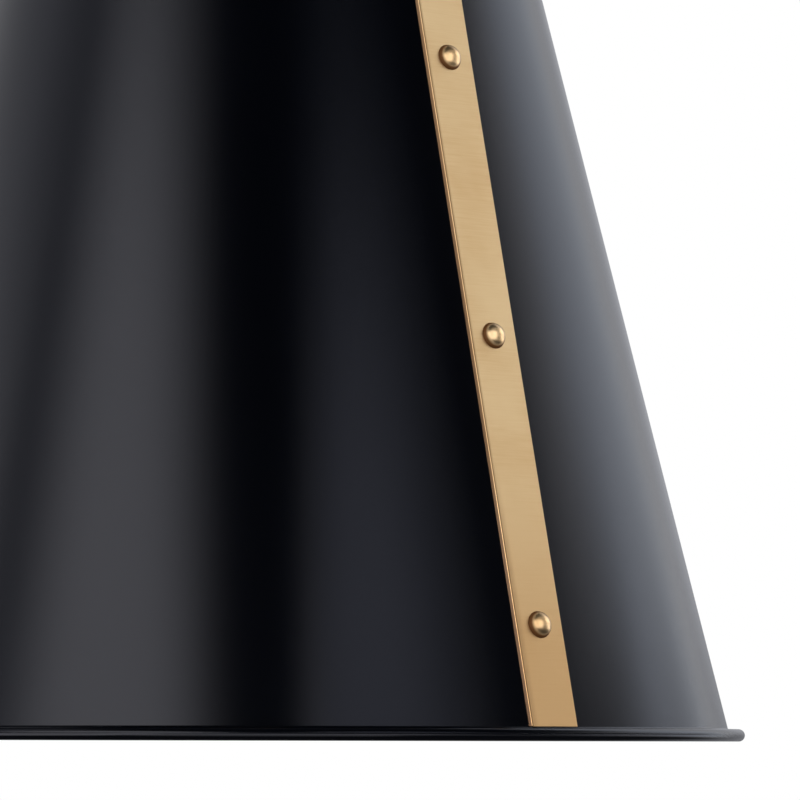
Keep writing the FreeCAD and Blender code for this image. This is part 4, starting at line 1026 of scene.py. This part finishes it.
spun("husk", [
    (HUB_HOLE, 0), (HUSK_RADIUS, 0, HUSK_CORNER), (HUSK_RADIUS, -HUSK_LENGTH, 0.4),
    (HUSK_RADIUS - HUSK_SHEET, -HUSK_LENGTH, 0.4),
    (HUSK_RADIUS - HUSK_SHEET, -HUSK_SHEET, HUSK_CORNER - HUSK_SHEET),
    (HUB_HOLE, -HUSK_SHEET)], ring_brass, 96)
spun("lamp_holder", [
    (CONTACT_HOLE, 0), (HOLDER_RADIUS, 0, 1.5), (HOLDER_RADIUS, -HOLDER_LENGTH, 1.2),
    (HOLDER_BORE, -HOLDER_LENGTH, 0.8), (HOLDER_BORE, -HOLDER_FLOOR, 0.6),
    (CONTACT_HOLE, -HOLDER_FLOOR)], FINISHES["porcelain"], 96)


def ridged_sheet(crest, top, count):
    """Outside and inside points of a sheet with rolled ridges."""
    outside = ridges(crest, top, count, RIDGE_PITCH, RIDGE_DEPTH, RIDGE_ROUNDING)
    inside = [(radius - SHEET_BRASS, height, rounding)
              for radius, height, rounding in reversed(outside)]
    return outside, inside


shell_out, shell_in = ridged_sheet(SHELL_RADIUS, -SHELL_LIP, SHELL_RIDGES)
spun("screw_shell", [
    (SHELL_MOUTH, 0), (SHELL_RADIUS, 0, 0.9), *shell_out, *shell_in,
    (SHELL_RADIUS - SHEET_BRASS, -SHEET_BRASS, 0.5), (SHELL_MOUTH, -SHEET_BRASS)],
    FINISHES["shell_brass"])
low, high = span("centre_contact")
shank_end = high.z - low.z
spun("centre_contact", [
    (0, 0), (CONTACT_SHANK, 0, 0.2), (CONTACT_SHANK, CONTACT_PLATE - shank_end),
    (CONTACT_RADIUS, CONTACT_PLATE - shank_end, 0.2), (CONTACT_RADIUS, -shank_end, 0.5),
    (0, -shank_end)], FINISHES["shell_brass"], 40)

# %% Bulb
BULB_TIP_RADIUS = 4.2
BULB_TIP_HEIGHT = 1.0
INSULATOR_HEIGHT = 2.6
INSULATOR_RADIUS = 11.6
INSULATOR_LEDGE = 5.2
BULB_CAP_RADIUS = 13.15
BULB_CAP_LIP = 10.6
BULB_CAP_RIDGES = 5
BULB_SKIRT = 1.0
GLOBE_RADIUS = 30.0
BULB_LENGTH = 110.0
BULB_GLASS = 0.8
NECK_GAP = 0.6
NECK_RADIUS = 13.02
SHOULDER_SHARE = 0.825
STEM_RADIUS = 11.4
STEM_LENGTH = 6.0

spun("bulb_contact", [(0, 0), (BULB_TIP_RADIUS, 0, 0.8), (BULB_TIP_RADIUS, -BULB_TIP_HEIGHT),
                      (0, -BULB_TIP_HEIGHT)], FINISHES[SLOT_OF["bulb_contact"]], 40)
spun("bulb_insulator", [
    (0, 0), (INSULATOR_LEDGE, 0, 0.5), (INSULATOR_RADIUS, -INSULATOR_HEIGHT),
    (0, -INSULATOR_HEIGHT)], FINISHES["black_glass"], 48)
ridge_start = -RIDGE_PITCH / 2
skirt_end = ridge_start - BULB_CAP_RIDGES * RIDGE_PITCH - BULB_SKIRT
cap_out, cap_in = ridged_sheet(BULB_CAP_RADIUS, ridge_start, BULB_CAP_RIDGES)
spun("bulb_cap", [
    (BULB_CAP_LIP, 0), (BULB_CAP_RADIUS - RIDGE_DEPTH, 0, 0.6), *cap_out,
    (BULB_CAP_RADIUS, skirt_end), (BULB_CAP_RADIUS - SHEET_BRASS, skirt_end),
    *cap_in, (BULB_CAP_RADIUS - RIDGE_DEPTH - SHEET_BRASS, -SHEET_BRASS),
    (BULB_CAP_LIP, -SHEET_BRASS)], FINISHES[SLOT_OF["bulb_cap"]])


def glass_side(radius, neck, foot, end):
    """Corners of the glass from its neck to its foot, with the radius of each sweep."""
    turn = math.acos(SHOULDER_SHARE)
    rise = radius * math.sin(turn)
    centre = foot + radius
    sweep = (end - centre - rise) / math.sin(turn)
    return [(neck, end), (neck, end - sweep * math.tan(turn / 2), sweep - 0.1),
            (radius, centre + radius * math.tan(turn / 2), radius - 0.02),
            (radius, foot, radius - 0.02), (0, foot)]


stem_height = span("bulb_glass")[1].z - span("bulb_contact")[1].z
neck_end = -STEM_LENGTH - NECK_GAP
bulb_foot = -BULB_LENGTH - stem_height
outer_glass = glass_side(GLOBE_RADIUS, NECK_RADIUS, bulb_foot, neck_end)
inner_glass = glass_side(GLOBE_RADIUS - BULB_GLASS, NECK_RADIUS - BULB_GLASS,
                         bulb_foot + BULB_GLASS, neck_end)
spun("bulb_glass", [
    (STEM_RADIUS, 0), (STEM_RADIUS, -STEM_LENGTH), *outer_glass, *reversed(inner_glass),
    (STEM_RADIUS - BULB_GLASS, -STEM_LENGTH), (STEM_RADIUS - BULB_GLASS, 0)],
    FINISHES["opal_glass"], 96)

# %% [markdown]
# What was milled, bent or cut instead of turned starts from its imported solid: the fork, the
# knuckle, the crossbar, the hexagon nuts and the slotted screws. The solid's triangles are
# merged into whole faces, and its sharp edges are eased by a small bevel.

# %% Milled and bent parts
EASED_EDGE = 0.22
SMALL_EDGE = 0.12


def eased(node, material, width):
    """Copy a CAD mesh in millimetres, merge its triangles and ease its edges."""
    source = frame["nodes"][node]
    mesh = bmesh.new()
    mesh.from_mesh(source.data)
    bmesh.ops.transform(mesh, verts=mesh.verts[:], matrix=source.matrix_world)
    bmesh.ops.scale(mesh, verts=mesh.verts[:], vec=(1 / MM, 1 / MM, 1 / MM))
    bmesh.ops.remove_doubles(mesh, verts=mesh.verts[:], dist=0.001)
    bmesh.ops.dissolve_limit(mesh, verts=mesh.verts[:], edges=mesh.edges[:],
                             angle_limit=math.radians(1), delimit={"NORMAL"})
    bevel_sharp(mesh, width, 2)
    finish(node + "_eased", mesh, node, material)


for node in ("swivel_fork", "stem_knuckle"):
    eased(node, ring_brass, EASED_EDGE)
for node in ("crossbar", "centre_nut", "canopy_nut", "husk_nut", "holder_cap"):
    eased(node, plated, EASED_EDGE)
for node in ("pivot_screws", "canopy_studs", "ground_screw", "swivel_stop_pin", "holder_screws",
             "terminal_screws"):
    eased(node, FINISHES[SLOT_OF[node]], SMALL_EDGE)

# %% [markdown]
# Anything that is left, such as the wire inside the rolled rim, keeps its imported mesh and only
# gets its finish.

# %% Finishes for the CAD parts
kept = [node for node, piece in frame["nodes"].items() if not piece.hide_render]
for node in kept:
    data = frame["nodes"][node].data
    data.materials.clear()
    data.materials.append(FINISHES[SLOT_OF[node]])
print("kept as they are:", ", ".join(sorted(kept)))
